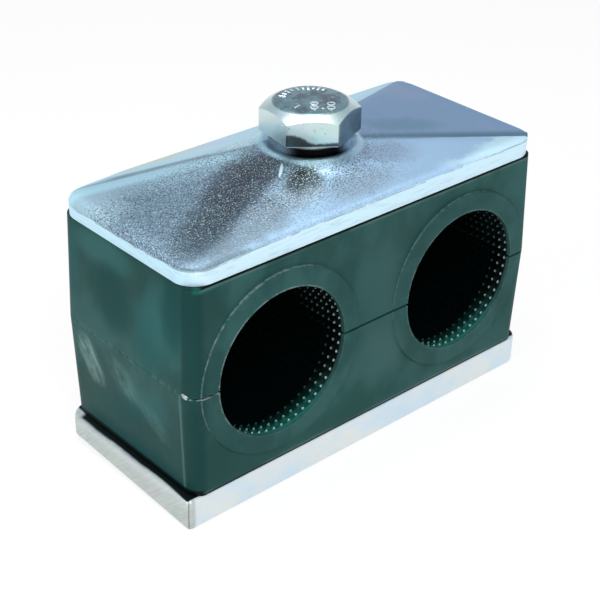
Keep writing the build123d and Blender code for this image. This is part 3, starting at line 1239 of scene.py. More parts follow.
@dataclass
class ClampHalf:
    """One moulded half: drafted block, two half seats lined with studs, bolt hole and counterbore.

    It is built with its split face on Z = 0 and its outer face up, then turned and put in place.
    """

    node: str
    body: str
    facing: Facing
    seat_pitch: float = 36 * MM
    seat_radius: float = 11.5 * MM
    split_gap: float = 0.4 * MM
    land: float = 0.7 * MM
    stud_depth: float = 0.8 * MM
    stud_relief: float = 0.05 * MM
    studs_round: int = 26
    studs_along: int = 25
    steps_per_stud: int = 6
    stud_sharpness: float = 1.4
    draft: float = math.radians(1.7)
    lip: float = 0.16 * MM
    corner_radius: float = 2.5 * MM
    corner_steps: int = 9
    outer_round: float = 0.4 * MM
    mouth_round: float = 0.24 * MM
    overhang: float = 0.05 * MM
    ring_radii: tuple[float, float, float] = (14.38 * MM, 14.50 * MM, 14.66 * MM)
    groove: float = 0.05 * MM
    bolt_hole_radius: float = 4.5 * MM
    counterbore_radius: float = 6.3 * MM
    counterbore_depth: float = 7.0 * MM
    half_length: float = field(init=False)
    half_width: float = field(init=False)
    collar_y: float = field(init=False)
    height: float = field(init=False)
    ring_count: int = field(init=False)

    def __post_init__(self) -> None:
        """Take the half's overall sizes from its node, and count the rings of its lining."""
        low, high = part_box(self.node)
        self.half_length = (high.x - low.x) / 2
        self.collar_y = (high.y - low.y) / 2
        self.half_width = self.collar_y - self.overhang
        self.height = high.z - low.z
        # One ring for each step of the studs, one more to end them, and one on each land's border.
        self.ring_count = self.studs_along * self.steps_per_stud + 3

    def build(self) -> bpy.types.Object:
        """Model, place and dress the half.

        Returns:
            The finished piece.
        """
        low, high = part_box(self.node)
        shape = self.front_sheet()
        self.pull_through(shape)
        self.cut_rings(shape)
        self.form(shape)
        self.soften(shape)
        if self.facing is Facing.DOWN:
            bmesh.ops.scale(shape, vec=(1, 1, -1), verts=shape.verts[:])
        split_z = low.z if self.facing is Facing.UP else high.z
        bmesh.ops.translate(shape, vec=(0, 0, split_z), verts=shape.verts[:])
        bmesh.ops.recalc_face_normals(shape, faces=shape.faces[:])
        piece = as_object(self.node + "_moulding", shape)
        outer_z = high.z if self.facing is Facing.UP else low.z
        inner = outer_z - self.facing.value * self.counterbore_depth
        boolean(piece, rod(self.bolt_hole_radius, low.z - PAST, high.z + PAST), "DIFFERENCE")
        ends = sorted((inner, outer_z + self.facing.value * PAST))
        boolean(piece, rod(self.counterbore_radius, *ends), "DIFFERENCE")
        settle(piece, GREEN, self.body, [self.node])
        return piece

    def front_sheet(self) -> bmesh.types.BMesh:
        """Flat front view on the XZ plane: two ribbons of quads round the seats inside one frame face.

        Returns:
            The sheet at Y = 0, split edge along Z = 0.
        """
        shape = bmesh.new()
        radii = (self.seat_radius, *self.ring_radii)
        steps = self.studs_round * self.steps_per_stud
        rims = []
        for side in (1, -1):
            centre = Vector((side * self.seat_pitch / 2, 0, -self.split_gap / 2))
            start, edges = chain(shape, [(centre.x + radius, 0, 0) for radius in radii])
            first = math.asin(self.split_gap / 2 / self.seat_radius)
            for vert, radius in zip(start, radii):
                vert.co = centre + Vector((radius * math.cos(first), 0, radius * math.sin(first)))
            # One station more for each step of the studs, from the split face over to the split face.
            bmesh.ops.spin(
                shape,
                geom=start + edges,
                cent=centre,
                axis=(0, -1, 0),
                angle=math.pi - 2 * first,
                steps=steps,
                use_merge=False,
                use_duplicate=False,
            )
            outer = [vert for vert in shape.verts if self.on_rim(vert, centre, radii[-1])]
            rims.append(sorted(outer, key=lambda vert: vert.co.x, reverse=True))
            # The stations next to the split are laid on its face.
            for vert in shape.verts:
                by_split = (vert.co - centre).length * math.sin(first) * 1.01
                if abs(vert.co.z) < min(by_split, 0.45 * MM):
                    vert.co.z = 0
        corners = [(-1, 0), (-1, 1), (1, 1), (1, 0)]
        frame_loop = [shape.verts.new((x * self.half_length, 0, z * self.height)) for x, z in corners]
        shape.faces.new(frame_loop + rims[0] + rims[1])
        bmesh.ops.remove_doubles(shape, verts=shape.verts[:], dist=1e-8)
        for step in range(self.corner_steps):
            reach = self.corner_radius * math.sin(math.pi / 2 * step / self.corner_steps)
            self.slice_at(shape, self.half_length - self.corner_radius + reach)
        return shape

    @staticmethod
    def on_rim(vert: bmesh.types.BMVert, centre: Vector, radius: float) -> bool:
        """Whether a vertex of the sheet lies on the circle of that radius."""
        return abs((vert.co - centre).length - radius) < 1e-7

    def slice_at(self, shape: bmesh.types.BMesh, distance: float) -> None:
        """Cut the sheet straight up at a distance either side of the middle."""
        for side in (-1, 1):
            slice_through(shape, (side * distance, 0, 0), (1, 0, 0))

    def pull_through(self, shape: bmesh.types.BMesh) -> None:
        """Extrude the sheet along Y into the block.

        Args:
            shape: the sheet, which becomes the block.
        """
        bmesh.ops.translate(shape, vec=(0, -self.collar_y, 0), verts=shape.verts[:])
        pulled = bmesh.ops.extrude_face_region(shape, geom=shape.faces[:], use_keep_orig=True)
        verts = [item for item in pulled["geom"] if isinstance(item, bmesh.types.BMVert)]
        bmesh.ops.translate(shape, vec=(0, 2 * self.collar_y, 0), verts=verts)
        bmesh.ops.recalc_face_normals(shape, faces=shape.faces[:])

    def seat_centre(self, point: Vector) -> Vector:
        """Middle of the seat on the point's side, at the point's own Y."""
        return Vector((math.copysign(self.seat_pitch / 2, point.x), point.y, -self.split_gap / 2))

    def in_seat(self, vert: bmesh.types.BMVert) -> bool:
        """Whether a vertex lies on the seat's own circle."""
        return abs((vert.co - self.seat_centre(vert.co)).length - self.seat_radius) < 0.02 * MM

    def cut_rings(self, shape: bmesh.types.BMesh) -> None:
        """Cut the seat walls into rings along Y, one for each step of the studs and each land.

        Args:
            shape: the block.
        """
        along = [
            edge
            for edge in shape.edges
            if abs(edge.verts[0].co.y - edge.verts[1].co.y) > self.collar_y
            and all(self.in_seat(vert) for vert in edge.verts)
        ]
        bmesh.ops.subdivide_edges(shape, edges=along, cuts=self.ring_count, use_grid_fill=True)

    def form(self, shape: bmesh.types.BMesh) -> None:
        """Move every vertex to its place: draft, rounded corners, proud collars, lands and studs.

        Args:
            shape: the block with its rings.
        """
        spacing = 2 * self.collar_y / (self.ring_count + 1)
        for vert in shape.verts:
            ring = round((vert.co.y + self.collar_y) / spacing)
            if 0 < ring < self.ring_count + 1:
                self.form_lining(vert, ring)
            else:
                self.form_outside(vert)

    def form_lining(self, vert: bmesh.types.BMVert, ring: int) -> None:
        """Put one vertex of a seat's wall on its land or its stud.

        Args:
            vert: the vertex.
            ring: number of its ring, counted from the front mouth.
        """
        start = -self.collar_y + self.land
        if ring in (1, self.ring_count):
            vert.co.y = math.copysign(start, vert.co.y)
            return
        # The studs' first ring stands where the land's border does, so a step parts the two.
        studs_end = self.studs_along * self.steps_per_stud
        centre = self.seat_centre(vert.co)
        spoke = vert.co - centre
        spoke.y = 0
        turn = math.atan2(spoke.z, spoke.x)
        vert.co.y = start + (ring - 2) / studs_end * -2 * start
        around = self.stud(turn / math.pi * self.studs_round)
        lengthwise = self.stud((ring - 2) / self.steps_per_stud)
        root = self.seat_radius + self.stud_depth
        radius = root - (self.stud_depth - self.stud_relief) * around * lengthwise
        on_split = vert.co.z < ON_PLANE
        place = centre + spoke.normalized() * radius
        vert.co.x = place.x
        vert.co.z = 0 if on_split else place.z

    def stud(self, phase: float) -> float:
        """Height of a stud, 0 in the valley and 1 at its tip, at a phase counted in studs."""
        return (0.5 - 0.5 * math.cos(math.tau * phase)) ** self.stud_sharpness

    def form_outside(self, vert: bmesh.types.BMVert) -> None:
        """Put one vertex of the front or back on the drafted face, the collar or the rounded corner.

        Args:
            vert: the vertex.
        """
        radius = (vert.co - self.seat_centre(vert.co)).length
        height = vert.co.z
        into_corner = max(abs(vert.co.x) - (self.half_length - self.corner_radius), 0)
        drop = self.corner_radius - math.sqrt(max(self.corner_radius ** 2 - into_corner ** 2, 0))
        face = self.half_width - height * math.tan(self.draft)
        inner, groove = self.ring_radii[:2]
        if radius < inner + ON_PLANE:
            face = self.collar_y
        elif radius < groove + ON_PLANE:
            face -= self.groove
        end_share = into_corner / self.corner_radius
        vert.co.y = math.copysign(face - drop, vert.co.y)
        vert.co.x -= math.copysign(height * math.tan(self.draft) * end_share, vert.co.x)
        if height < ON_PLANE:
            vert.co.z = -self.lip * end_share

    def soften(self, shape: bmesh.types.BMesh) -> None:
        """Round the outer face's border and the mouths.

        Args:
            shape: the formed half.
        """
        top = [edge for edge in shape.edges if all(vert.co.z > self.height - ON_PLANE for vert in edge.verts)]
        border = [edge for edge in top if any(abs(face.normal.z) < 0.9 for face in edge.link_faces)]
        round_edges(shape, border, self.outer_round, 3)
        mouths = [edge for edge in shape.edges if self.is_mouth(edge)]
        round_edges(shape, mouths, self.mouth_round, 2)

    def is_mouth(self, edge: bmesh.types.BMEdge) -> bool:
        """Whether an edge runs round a seat's mouth.

        Args:
            edge: the edge.

        Returns:
            True where both its ends lie on the mouth's circle, on the same side.
        """
        near = 0.3 * MM
        first, second = edge.verts
        outermost = all(abs(abs(vert.co.y) - self.collar_y) < near for vert in (first, second))
        level = abs(first.co.y - second.co.y) < near
        return outermost and level and self.in_seat(first) and self.in_seat(second)


# ---- cover plate ---------------------------------------------------------------------------------------

@dataclass
class CoverPlate:
    """Pressed cover: four flats in soft creases up to a round seat, hollow inside, rounded rim."""

    node: str = "cover_plate"
    body: str = "cap"
    thickness: float = 3.0 * MM
    corner_radius: float = 3.5 * MM
    rim_width: float = 1.5 * MM
    edge_round: float = 0.55 * MM
    foot_round: float = 0.22 * MM
    crown: tuple[float, float] = (9.2 * MM, 6.8 * MM)
    crease: float = 0.6 * MM
    seat_radius: float = 7.3 * MM
    seat_blend: float = 0.5 * MM
    step: tuple[float, float] = (6.2 * MM, 1.0 * MM)
    hole_radius: float = 4.5 * MM
    cell: float = 0.42 * MM
    roll: tuple[float, float] = (0.9 * MM, 1.7 * MM)
    roll_along: tuple[float, float] = (-22.0 * MM, -31.0 * MM)
    roll_across: tuple[float, float] = (-14.5 * MM, 0.0)
    roll_in_front: float = 0.35
    smooth_below: float = 40.0
    half: tuple[float, float] = field(init=False)
    rise: float = field(init=False)

    def __post_init__(self) -> None:
        """Take the cover's overall sizes from its node."""
        low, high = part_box(self.node)
        self.half = ((high.x - low.x) / 2, (high.y - low.y) / 2)
        self.rise = high.z - low.z - self.thickness - self.step[1]

    def build(self) -> bpy.types.Object:
        """Model and dress the cover.

        Returns:
            The finished piece.
        """
        low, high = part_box(self.node)
        step_radius, step_height = self.step
        shape = bmesh.new()
        inner = self.skin(shape)
        for vert in inner:
            vert.co.z = max(self.pressed(vert.co, self.rim_width), 0)
        outer = self.skin(shape)
        for vert in outer:
            vert.co.z = self.thickness + max(self.pressed(vert.co, 0), 0)
        borders = [edge for edge in shape.edges if edge.is_boundary]
        bmesh.ops.bridge_loops(shape, edges=borders)
        bmesh.ops.recalc_face_normals(shape, faces=shape.faces[:])
        foot = [edge for edge in shape.edges if self.on_rim(edge, 0)]
        round_edges(shape, foot, self.foot_round, 2)
        rim = [edge for edge in shape.edges if self.on_rim(edge, self.thickness)]
        round_edges(shape, rim, self.edge_round, 4)
        for vert in shape.verts:
            vert.co.z *= 1 - self.rolled_over(vert.co) / self.thickness
        bmesh.ops.translate(shape, vec=(0, 0, low.z), verts=shape.verts[:])
        piece = as_object("cover_plate_pressing", shape, self.smooth_below)
        boolean(piece, rod(step_radius, high.z - 1.5 * step_height, high.z), "UNION", self.smooth_below)
        boolean(piece, rod(self.hole_radius, low.z - PAST, high.z + PAST), "DIFFERENCE", self.smooth_below)
        settle(piece, COVER_ZINC, self.body, [self.node])
        return piece

    def skin(self, shape: bmesh.types.BMesh) -> list[bmesh.types.BMVert]:
        """Add a flat grid with the cover's outline.

        Args:
            shape: the mesh to add to.

        Returns:
            The grid's vertices.
        """
        cells = [round(2 * half / self.cell) for half in self.half]
        grid = bmesh.ops.create_grid(shape, x_segments=cells[0], y_segments=cells[1], size=1)["verts"]
        for vert in grid:
            vert.co.x *= self.half[0]
            vert.co.y *= self.half[1]
            self.round_corner(vert)
        return grid

    def round_corner(self, vert: bmesh.types.BMVert) -> None:
        """Bend the square corner that a vertex lies in to the corner radius.

        Args:
            vert: the vertex, left alone outside the corners.
        """
        past = [abs(value) - (half - self.corner_radius) for value, half in zip(vert.co, self.half)]
        if min(past) <= 0:
            return
        reach = max(past)
        turn = math.atan2(past[1], past[0])
        bent = (reach * math.cos(turn), reach * math.sin(turn))
        for axis, half in enumerate(self.half):
            centre = half - self.corner_radius
            vert.co[axis] = math.copysign(centre + bent[axis], vert.co[axis])

    def rolled_over(self, point: Vector) -> float:
        """How far the sheared edge is rolled down at a place, most at the back left corner.

        Args:
            point: place on the plate.

        Returns:
            The depth in metres.
        """
        depth, reach = self.roll
        inside = [half - abs(value) for value, half in zip(point, self.half)]
        to_edge = min(inside)
        if max(inside) < self.corner_radius:
            to_edge = self.corner_radius - math.hypot(*(self.corner_radius - value for value in inside))
        short = min(max(1 - to_edge / reach, 0), 1)
        back = fade(point.y, *self.roll_across)
        share = fade(point.x, *self.roll_along) * (back * (1 - self.roll_in_front) + self.roll_in_front)
        return depth * share * (1 - math.sqrt(1 - short ** 2))

    def pressed(self, point: Vector, inset: float) -> float:
        """Height of the pressed form above its own rim.

        Args:
            point: place on the plate.
            inset: how far the form's foot lies inside the outline.

        Returns:
            The height in metres, below zero outside the foot.
        """
        slopes = []
        for value, half, crown in zip(point, self.half, self.crown):
            foot = half - inset
            slopes.append(self.rise * (foot - abs(value)) / (foot - crown / 2))
        flats = self.soft_least(slopes[0], slopes[1], self.crease)
        flats = self.soft_least(flats, self.rise, self.crease)
        distance = math.hypot(point.x, point.y)
        seat = self.rise - max(distance - self.seat_radius, 0)
        return min(-self.soft_least(-flats, -seat, self.seat_blend), self.rise)

    @staticmethod
    def soft_least(first: float, second: float, blend: float) -> float:
        """The smaller of two numbers, rounded over where they are within blend of each other."""
        share = max(blend - abs(first - second), 0) / blend
        return min(first, second) - share * share * blend / 4

    @staticmethod
    def on_rim(edge: bmesh.types.BMEdge, height: float) -> bool:
        """Whether an edge at that height is where a skin meets the side wall.

        Args:
            edge: the edge.
            height: height of the skin.

        Returns:
            True for such an edge.
        """
        if len(edge.link_faces) != 2 or any(abs(vert.co.z - height) > 0.05 * MM for vert in edge.verts):
            return False
        return sum(abs(face.normal.z) < 0.3 for face in edge.link_faces) == 1


# ---- weld plate ----------------------------------------------------------------------------------------

@dataclass
class WeldPlate:
    """Sheared flat bar with eased edges, one corner sharper than the rest, bored for the bush."""

    node: str = "weld_plate"
    body: str = "base"
    corner_radius: float = 2.5 * MM
    sharp_radius: float = 0.8 * MM
    edge_round: float = 0.45 * MM
    rolled: tuple[float, float] = (0.4 * MM, 2.1 * MM)
    roll_fade: float = 24.0 * MM
    roll_steps: int = 7
    roll_crowding: float = 1.6
    bore_radius: float = 5.0 * MM

    def build(self) -> bpy.types.Object:
        """Model and dress the plate.

        Returns:
            The finished piece.
        """
        low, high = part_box(self.node)
        shape = bmesh.new()
        bmesh.ops.create_cube(shape, size=1)
        bmesh.ops.scale(shape, vec=high - low, verts=shape.verts[:])
        bmesh.ops.translate(shape, vec=(low + high) / 2, verts=shape.verts[:])
        uprights = [edge for edge in shape.edges if is_upright(edge)]
        uprights.sort(key=lambda edge: edge.verts[0].co.x + edge.verts[0].co.y)
        sharp = uprights[0].verts[0].co.xy
        round_edges(shape, uprights[1:], self.corner_radius, 8)
        left = [edge for edge in shape.edges if self.stands_at(edge, sharp)]
        round_edges(shape, left, self.sharp_radius, 4)
        rims = [edge for edge in shape.edges if self.is_level(edge)]
        round_edges(shape, rims, self.edge_round, 4)
        self.roll_end(shape, low, high)
        piece = as_object("weld_plate_bar", shape)
        boolean(piece, rod(self.bore_radius, low.z - PAST, high.z + PAST), "DIFFERENCE")
        settle(piece, PLATE_ZINC, self.body, [self.node])
        return piece

    def roll_end(self, shape: bmesh.types.BMesh, low: Vector, high: Vector) -> None:
        """Round the cropped left end over, above and below, fading towards its sharper corner.

        Args:
            shape: the finished bar.
            low: its lowest corner.
            high: its highest corner.
        """
        sharp, full = self.rolled
        for step in range(1, self.roll_steps + 1):
            reach = full * (step / self.roll_steps) ** self.roll_crowding
            slice_through(shape, (low.x + reach, 0, 0), (1, 0, 0))
        half = (high.z - low.z) / 2
        middle = (high.z + low.z) / 2
        for vert in shape.verts:
            share = min((vert.co.y - low.y) / self.roll_fade, 1)
            radius = sharp + (full - sharp) * share
            short = radius - (vert.co.x - low.x)
            if short > 0:
                fall = radius - math.sqrt(max(radius ** 2 - short ** 2, 0))
                vert.co.z = middle + (vert.co.z - middle) * (1 - fall / half)

    @staticmethod
    def stands_at(edge: bmesh.types.BMEdge, corner: Vector) -> bool:
        """Whether an edge is the upright one at a corner."""
        return all((vert.co.xy - corner).length < 1e-5 for vert in edge.verts)

    @staticmethod
    def is_level(edge: bmesh.types.BMEdge) -> bool:
        """Whether an edge borders the plate's top or underside."""
        level = abs(edge.verts[0].co.z - edge.verts[1].co.z) < ON_PLANE
        return level and any(abs(face.normal.z) > 0.9 for face in edge.link_faces)


# ---- bolt ----------------------------------------------------------------------------------------------

@dataclass
class HexBolt:
    """Cold-formed hexagon bolt: domed chamfer, washer face, raised grade mark, rolled thread."""

    node: str = "hex_bolt"
    body: str = "bolt"
    across_flats: float = 13.0 * MM
    turn: float = math.radians(22.0)
    head_height: float = 5.3 * MM
    washer_face: tuple[float, float] = (5.9 * MM, 0.5 * MM)
    washer_root: float = 0.2 * MM
    shank_radius: float = 4.0 * MM
    pitch: float = 1.25 * MM
    thread_depth: float = 0.72 * MM
    thread_length: float = 28.0 * MM
    steps_per_turn: int = 48
    smooth_below: float = 25.0
    corner_round: float = 0.22 * MM
    foot_round: float = 0.15 * MM
    chamfer_angle: float = math.radians(30.0)
    crown_radius: float = 5.0 * MM
    crown_fall: tuple[tuple[float, float], ...] = (
        (5.0 * MM, 0.01 * MM), (5.25 * MM, 0.05 * MM), (5.45 * MM, 0.15 * MM),
    )
    shoulder_radius: float = 5.6 * MM
    neck_relief: float = 0.15 * MM
    mark_height: float = 0.12 * MM
    mark_root: float = 0.3 * MM
    mark_turn: float = -42.0
    mark_row: float = 2.35 * MM
    figures_at: tuple[float, float, float] = (0.55 * MM, 1.75 * MM, 2.95 * MM)
    figure_loop: tuple[float, float] = (0.52 * MM, 0.20 * MM)
    dash_before: float = 2.4 * MM
    tick: tuple[float, float] = (1.05 * MM, 0.32 * MM)
    tick_radius: float = 4.15 * MM
    tick_angles: tuple[float, ...] = (20.0, 31.0, 42.0, 53.0, 64.0, 76.0, 90.0, 101.0, 113.0, 126.0)
    tip_z: float = field(init=False)
    top_z: float = field(init=False)
    seat_z: float = field(init=False)

    def __post_init__(self) -> None:
        """Take the heights of the bolt's tip, top and seat from its node."""
        low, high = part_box(self.node)
        self.tip_z, self.top_z, self.seat_z = low.z, high.z, high.z - self.head_height

    def build(self) -> bpy.types.Object:
        """Model and dress the bolt.

        Returns:
            The finished piece.
        """
        piece = self.head()
        boolean(piece, self.marks(), "UNION", self.smooth_below)
        boolean(piece, self.plain_shank(), "UNION")
        boolean(piece, self.thread(), "UNION", self.smooth_below)
        settle(piece, BOLT_ZINC, self.body, [self.node])
        return piece

    def head(self) -> bpy.types.Object:
        """Hexagon trimmed by its domed chamfer, with the washer face under it.

        Returns:
            The head, to which the marks and the shank are joined.
        """
        radius, depth = self.washer_face
        shape = bmesh.new()
        middle = (self.seat_z + depth + self.top_z) / 2
        # The cone's first corner stands on +Y, so a twelfth of a turn more puts one at the bolt's turn.
        turn = Matrix.Rotation(self.turn + math.tau / 12, 4, "Z")
        bmesh.ops.create_cone(
            shape,
            cap_ends=True,
            segments=6,
            radius1=self.corner_reach(),
            radius2=self.corner_reach(),
            depth=self.head_height - depth,
            matrix=Matrix.Translation((0, 0, middle)) @ turn,
        )
        round_edges(shape, [edge for edge in shape.edges if is_upright(edge)], self.corner_round, 3)
        foot = [edge for edge in shape.edges if all(vert.co.z < middle for vert in edge.verts)]
        round_edges(shape, foot, self.foot_round, 2)
        piece = as_object("hex_bolt_forging", shape, self.smooth_below)
        boolean(piece, self.dome(), "INTERSECT", self.smooth_below)
        washer = rod(radius, self.seat_z, self.seat_z + depth + self.washer_root)
        boolean(piece, washer, "UNION", self.smooth_below)
        return piece

    def corner_reach(self) -> float:
        """Distance of the hexagon's corners from the axis."""
        return self.across_flats / 2 / math.cos(math.pi / 6)

    def dome(self) -> bmesh.types.BMesh:
        """Turned form that gives the head its chamfer and slightly domed top.

        Returns:
            The form that the hexagon is trimmed to.
        """
        corner = self.corner_reach() + PAST
        crown, shoulder = self.crown_radius, self.shoulder_radius
        fall = math.tan(self.chamfer_angle)
        low = self.seat_z - PAST
        top = self.top_z - self.mark_height
        profile = [
            (0, top),
            *((radius, top - depth) for radius, depth in self.crown_fall),
            (shoulder, self.top_z - (shoulder - crown) * fall),
            (corner, self.top_z - (corner - crown) * fall),
            (corner, low),
            (0, low),
        ]
        return turned(profile, 120)

    def marks(self) -> bmesh.types.BMesh:
        """Raised strength figures at the front of the crown and a row of plain ticks round its back.

        Returns:
            All the marks in one mesh.
        """
        shape = bmesh.new()
        loop, wire = self.figure_loop
        first, dot, second = self.figures_at
        for along in (first, second):
            for side in (-1, 1):
                self.add_figure(shape, self.ring(loop, wire), along, self.mark_row + side * (loop + wire))
        self.add_figure(shape, self.bar(wire * 2, wire * 2), dot, self.mark_row + 2 * loop)
        self.add_figure(shape, self.bar(wire * 6, wire * 1.4), first - self.dash_before, self.mark_row + loop)
        length, width = self.tick
        for index, angle in enumerate(self.tick_angles):
            self.add_mark(shape, self.bar(length * (0.7 + 0.3 * (index % 2)), width), self.tick_radius, angle)
        return shape

    def add_figure(
        self, shape: bmesh.types.BMesh, mark: bmesh.types.BMesh, along: float, near: float
    ) -> None:
        """Add one mark of the row of figures, so far along the row and so far in front of the axis."""
        angle = self.mark_turn - math.degrees(math.atan2(near, along))
        self.add_mark(shape, mark, math.hypot(along, near), angle)

    def add_mark(
        self, shape: bmesh.types.BMesh, mark: bmesh.types.BMesh, radius: float, angle: float
    ) -> None:
        """Add one mark to the crown.

        Args:
            shape: the mesh to add to.
            mark: the mark, lying along X about the origin with its top at Z = 0, freed afterwards.
            radius: its distance from the bolt's axis.
            angle: its place round the axis, in degrees.
        """
        turn = Matrix.Rotation(math.radians(angle), 4, "Z")
        mark.transform(turn @ Matrix.Translation((radius, 0, self.top_z)))
        held = bpy.data.meshes.new("mark")
        mark.to_mesh(held)
        mark.free()
        shape.from_mesh(held)
        bpy.data.meshes.remove(held)

    def ring(self, radius: float, wire: float) -> bmesh.types.BMesh:
        """Raised ring, one loop of a figure, with sloping sides.

        Args:
            radius: radius of its middle line.
            wire: half its width at the foot, all its width on top.

        Returns:
            The ring, its top at Z = 0.
        """
        sunk = -self.mark_height - self.mark_root
        half = wire / 2
        section = [(radius - wire, sunk), (radius - half, 0), (radius + half, 0), (radius + wire, sunk)]
        return turned(section, 20, closed=True)

    def bar(self, length: float, width: float) -> bmesh.types.BMesh:
        """Raised bar with eased edges, lying along X.

        Args:
            length: its length.
            width: its width.

        Returns:
            The bar, its top at Z = 0.
        """
        mark = bmesh.new()
        bmesh.ops.create_cube(mark, size=1)
        height = self.mark_height + self.mark_root
        bmesh.ops.scale(mark, vec=(length, width, height), verts=mark.verts[:])
        bmesh.ops.translate(mark, vec=(0, 0, -height / 2), verts=mark.verts[:])
        border = [edge for edge in mark.edges if all(vert.co.z > -ON_PLANE for vert in edge.verts)]
        round_edges(mark, border, width / 4, 2)
        return mark

    def plain_shank(self) -> bmesh.types.BMesh:
        """Plain length of the shank under the head."""
        low = self.tip_z + self.thread_length - PAST
        return rod(self.shank_radius - self.neck_relief, low, self.seat_z + PAST)

    def thread(self) -> bmesh.types.BMesh:
        """Rolled thread: one tooth swept along a helix, cut square at both ends and capped.

        Returns:
            The threaded length of the shank, normals outward.
        """
        shape = bmesh.new()
        top = self.tip_z + self.thread_length
        root = self.shank_radius - self.thread_depth
        crest = self.pitch / 8
        flank = self.pitch * 3 / 8
        start = self.tip_z - 2 * self.pitch
        tooth = [
            (root, 0.0),
            (root, crest),
            (self.shank_radius, crest + flank),
            (self.shank_radius, 2 * crest + flank),
            (root, self.pitch),
        ]
        points, edges = chain(shape, [(radius, 0, start + height) for radius, height in tooth])
        turns = math.ceil(self.thread_length / self.pitch) + 4
        bmesh.ops.spin(
            shape,
            geom=points + edges,
            cent=(0, 0, 0),
            axis=(0, 0, 1),
            dvec=(0, 0, self.pitch / self.steps_per_turn),
            angle=math.tau * turns,
            steps=self.steps_per_turn * turns,
            use_merge=False,
            use_duplicate=False,
        )
        bmesh.ops.remove_doubles(shape, verts=shape.verts[:], dist=1e-6)
        for height, way in ((self.tip_z, -1), (top, 1)):
            slice_through(shape, (0, 0, height), (0, 0, way), near=1e-8, keep_outer=False)
            borders = [edge for edge in shape.edges if edge.is_boundary]
            rim = [edge for edge in borders if abs(edge.verts[0].co.z - height) < ON_PLANE]
            bmesh.ops.edgeloop_fill(shape, edges=rim)
        bmesh.ops.recalc_face_normals(shape, faces=shape.faces[:])
        return shape


# ---- stage ---------------------------------------------------------------------------------------------

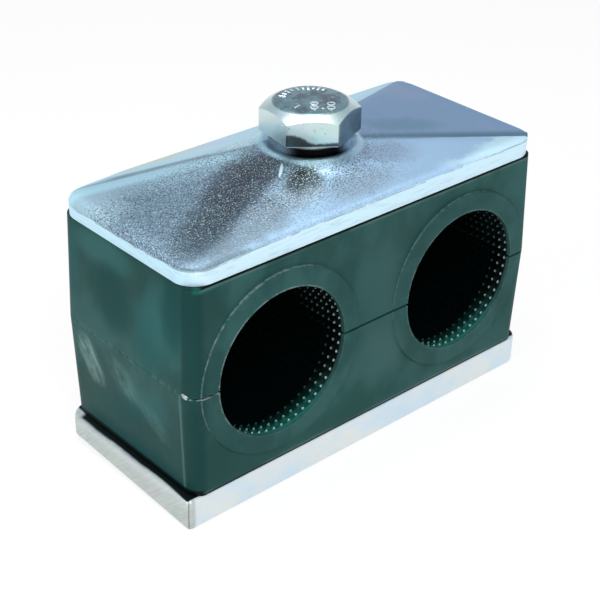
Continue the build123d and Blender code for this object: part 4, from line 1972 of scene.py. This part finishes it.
@dataclass
class Studio:
    """Pale floor, white surround, soft lamps and the camera."""

    azimuth: float = math.radians(-42.05)
    elevation: float = math.radians(30.65)
    roll: float = 0.020
    distance: float = 214.86 * MM
    aim: tuple[float, float, float] = (-2.84 * MM, -1.76 * MM, -5.96 * MM)
    lens: float = 84.2
    horizon: Colour = (0.98, 0.99, 1.0)
    sky: Colour = (0.42, 0.48, 0.56)
    zenith: Colour = (0.80, 0.84, 0.88)
    fill: Colour = (0.34, 0.35, 0.36)
    floor_tones: tuple[Colour, Colour] = ((0.80, 0.80, 0.80), (0.84, 0.84, 0.84))
    floor_glow: tuple[float, float, float] = (0.82, 0.9, 0.9)
    floor_reach: float = 3.0
    floor_gap: float = 0.02 * MM
    low_z: float = field(init=False)
    middle: Vector = field(init=False)

    def __post_init__(self) -> None:
        """Find the middle and the foot of what is shown."""
        low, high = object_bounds()
        self.low_z, self.middle = low.z, (low + high) / 2

    def build(self) -> None:
        """Put up the floor, the surround, the lamps and the camera."""
        self.lay_floor()
        self.light_surround()
        self.hang_lamps()
        self.stand_camera()
        view = bpy.context.scene.view_settings
        view.view_transform = "Standard"

    def lay_floor(self) -> None:
        """Wide pale floor under the object, which keeps its shadow and lights up for the eye."""
        shape = bmesh.new()
        place = Matrix.Translation((0, 0, self.low_z - self.floor_gap))
        bmesh.ops.create_grid(shape, x_segments=4, y_segments=4, size=self.floor_reach, matrix=place)
        floor = as_object("floor", shape)
        made = bpy.data.materials.new("pale_floor")
        made.use_nodes = True
        graph = Graph(made.node_tree)
        place = graph.out("ShaderNodeTexCoord", output="Object")
        tone = graph.mix(graph.noise(place, 0.05), *self.floor_tones)
        matt = graph.out("ShaderNodeBsdfPrincipled", inputs={"Base Color": tone, "Roughness": 0.9})
        glow = graph.out("ShaderNodeEmission", inputs={"Color": (1.0, 1.0, 1.0, 1.0), "Strength": 1.0})
        seen, mirrored, through = (ray * share for ray, share in zip(graph.rays(), self.floor_glow))
        share = (seen + mirrored + through).least(1.0)
        surface = graph.out("ShaderNodeMixShader", inputs={0: share, 1: matt, 2: glow})
        graph.node("ShaderNodeOutputMaterial", inputs={"Surface": surface})
        floor.data.materials.append(made)
        floor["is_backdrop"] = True

    def light_surround(self) -> None:
        """White surround for the eye, a paler and darker sky for reflections, and a level fill."""
        world = bpy.data.worlds.new("surround")
        world.use_nodes = True
        bpy.context.scene.world = world
        graph = Graph(world.node_tree)
        seen, mirrored, through = graph.rays()
        up = graph.split(graph.out("ShaderNodeTexCoord", output="Generated"))[2]
        stops = [
            (0.0, self.horizon),
            (0.12, self.horizon),
            (0.36, self.sky),
            (0.8, self.sky),
            (1.0, self.zenith),
        ]
        sky = graph.out("ShaderNodeValToRGB", {"stops": stops}, {0: up})
        colour = graph.mix(mirrored, self.fill, sky)
        colour = graph.mix((seen + through).least(1.0), colour, (1.0, 1.0, 1.0))
        surface = graph.out("ShaderNodeBackground", inputs={"Color": colour, "Strength": 1.0})
        graph.node("ShaderNodeOutputWorld", inputs={"Surface": surface})

    def hang_lamps(self) -> None:
        """One softbox overhead, one high in front and a weak one at the left."""
        self.softbox("overhead_softbox", offset=(0.00, 0.02, 0.42), size=0.26, power=1.15)
        self.softbox("front_softbox", offset=(-0.16, -0.34, 0.34), size=0.30, power=1.7)
        self.softbox("left_softbox", offset=(-0.42, 0.02, 0.22), size=0.24, power=0.75)

    def softbox(self, name: str, offset: Sequence[float], size: float, power: float) -> None:
        """Square lamp that faces the object.

        Args:
            name: the lamp's name.
            offset: its place from the object's middle, in metres.
            size: its side, in metres.
            power: its power, in watts.
        """
        light = bpy.data.lights.new(name, "AREA")
        light.size = size
        light.energy = power
        lamp = bpy.data.objects.new(name, light)
        lamp.location = self.middle + Vector(offset)
        lamp.rotation_euler = Vector(offset).to_track_quat("Z", "Y").to_euler()
        bpy.context.scene.collection.objects.link(lamp)

    def stand_camera(self) -> None:
        """Camera that looks down on the left front corner."""
        settings = bpy.data.cameras.new("camera")
        settings.lens = self.lens
        settings.sensor_width = 36.0
        settings.clip_start = 0.01
        settings.clip_end = 20.0
        camera = bpy.data.objects.new("camera", settings)
        level = math.cos(self.elevation)
        across, away = math.sin(self.azimuth) * level, -math.cos(self.azimuth) * level
        back = Vector((across, away, math.sin(self.elevation)))
        camera.location = self.middle + Vector(self.aim) + back * self.distance
        upright = back.to_track_quat("Z", "Y").to_matrix()
        camera.rotation_euler = (upright @ Matrix.Rotation(self.roll, 3, "Z")).to_euler()
        bpy.context.scene.collection.objects.link(camera)
        bpy.context.scene.camera = camera


# ---- the whole scene -----------------------------------------------------------------------------------

def dress_bush() -> None:
    """Give the threaded bush, shown as its own node, its turned zinc finish."""
    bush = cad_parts["threaded_bush"]
    settle(bush, BOLT_ZINC, "base")


def main() -> None:
    """Build every piece in order, then the stage."""
    logging.basicConfig(level=logging.INFO, format="%(name)s %(message)s")
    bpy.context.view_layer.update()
    WeldPlate().build()
    ClampHalf("lower_clamp_half", "base", Facing.DOWN).build()
    ClampHalf("upper_clamp_half", "cap", Facing.UP).build()
    CoverPlate().build()
    HexBolt().build()
    dress_bush()
    Studio().build()


if __name__ == "__main__":
    main()
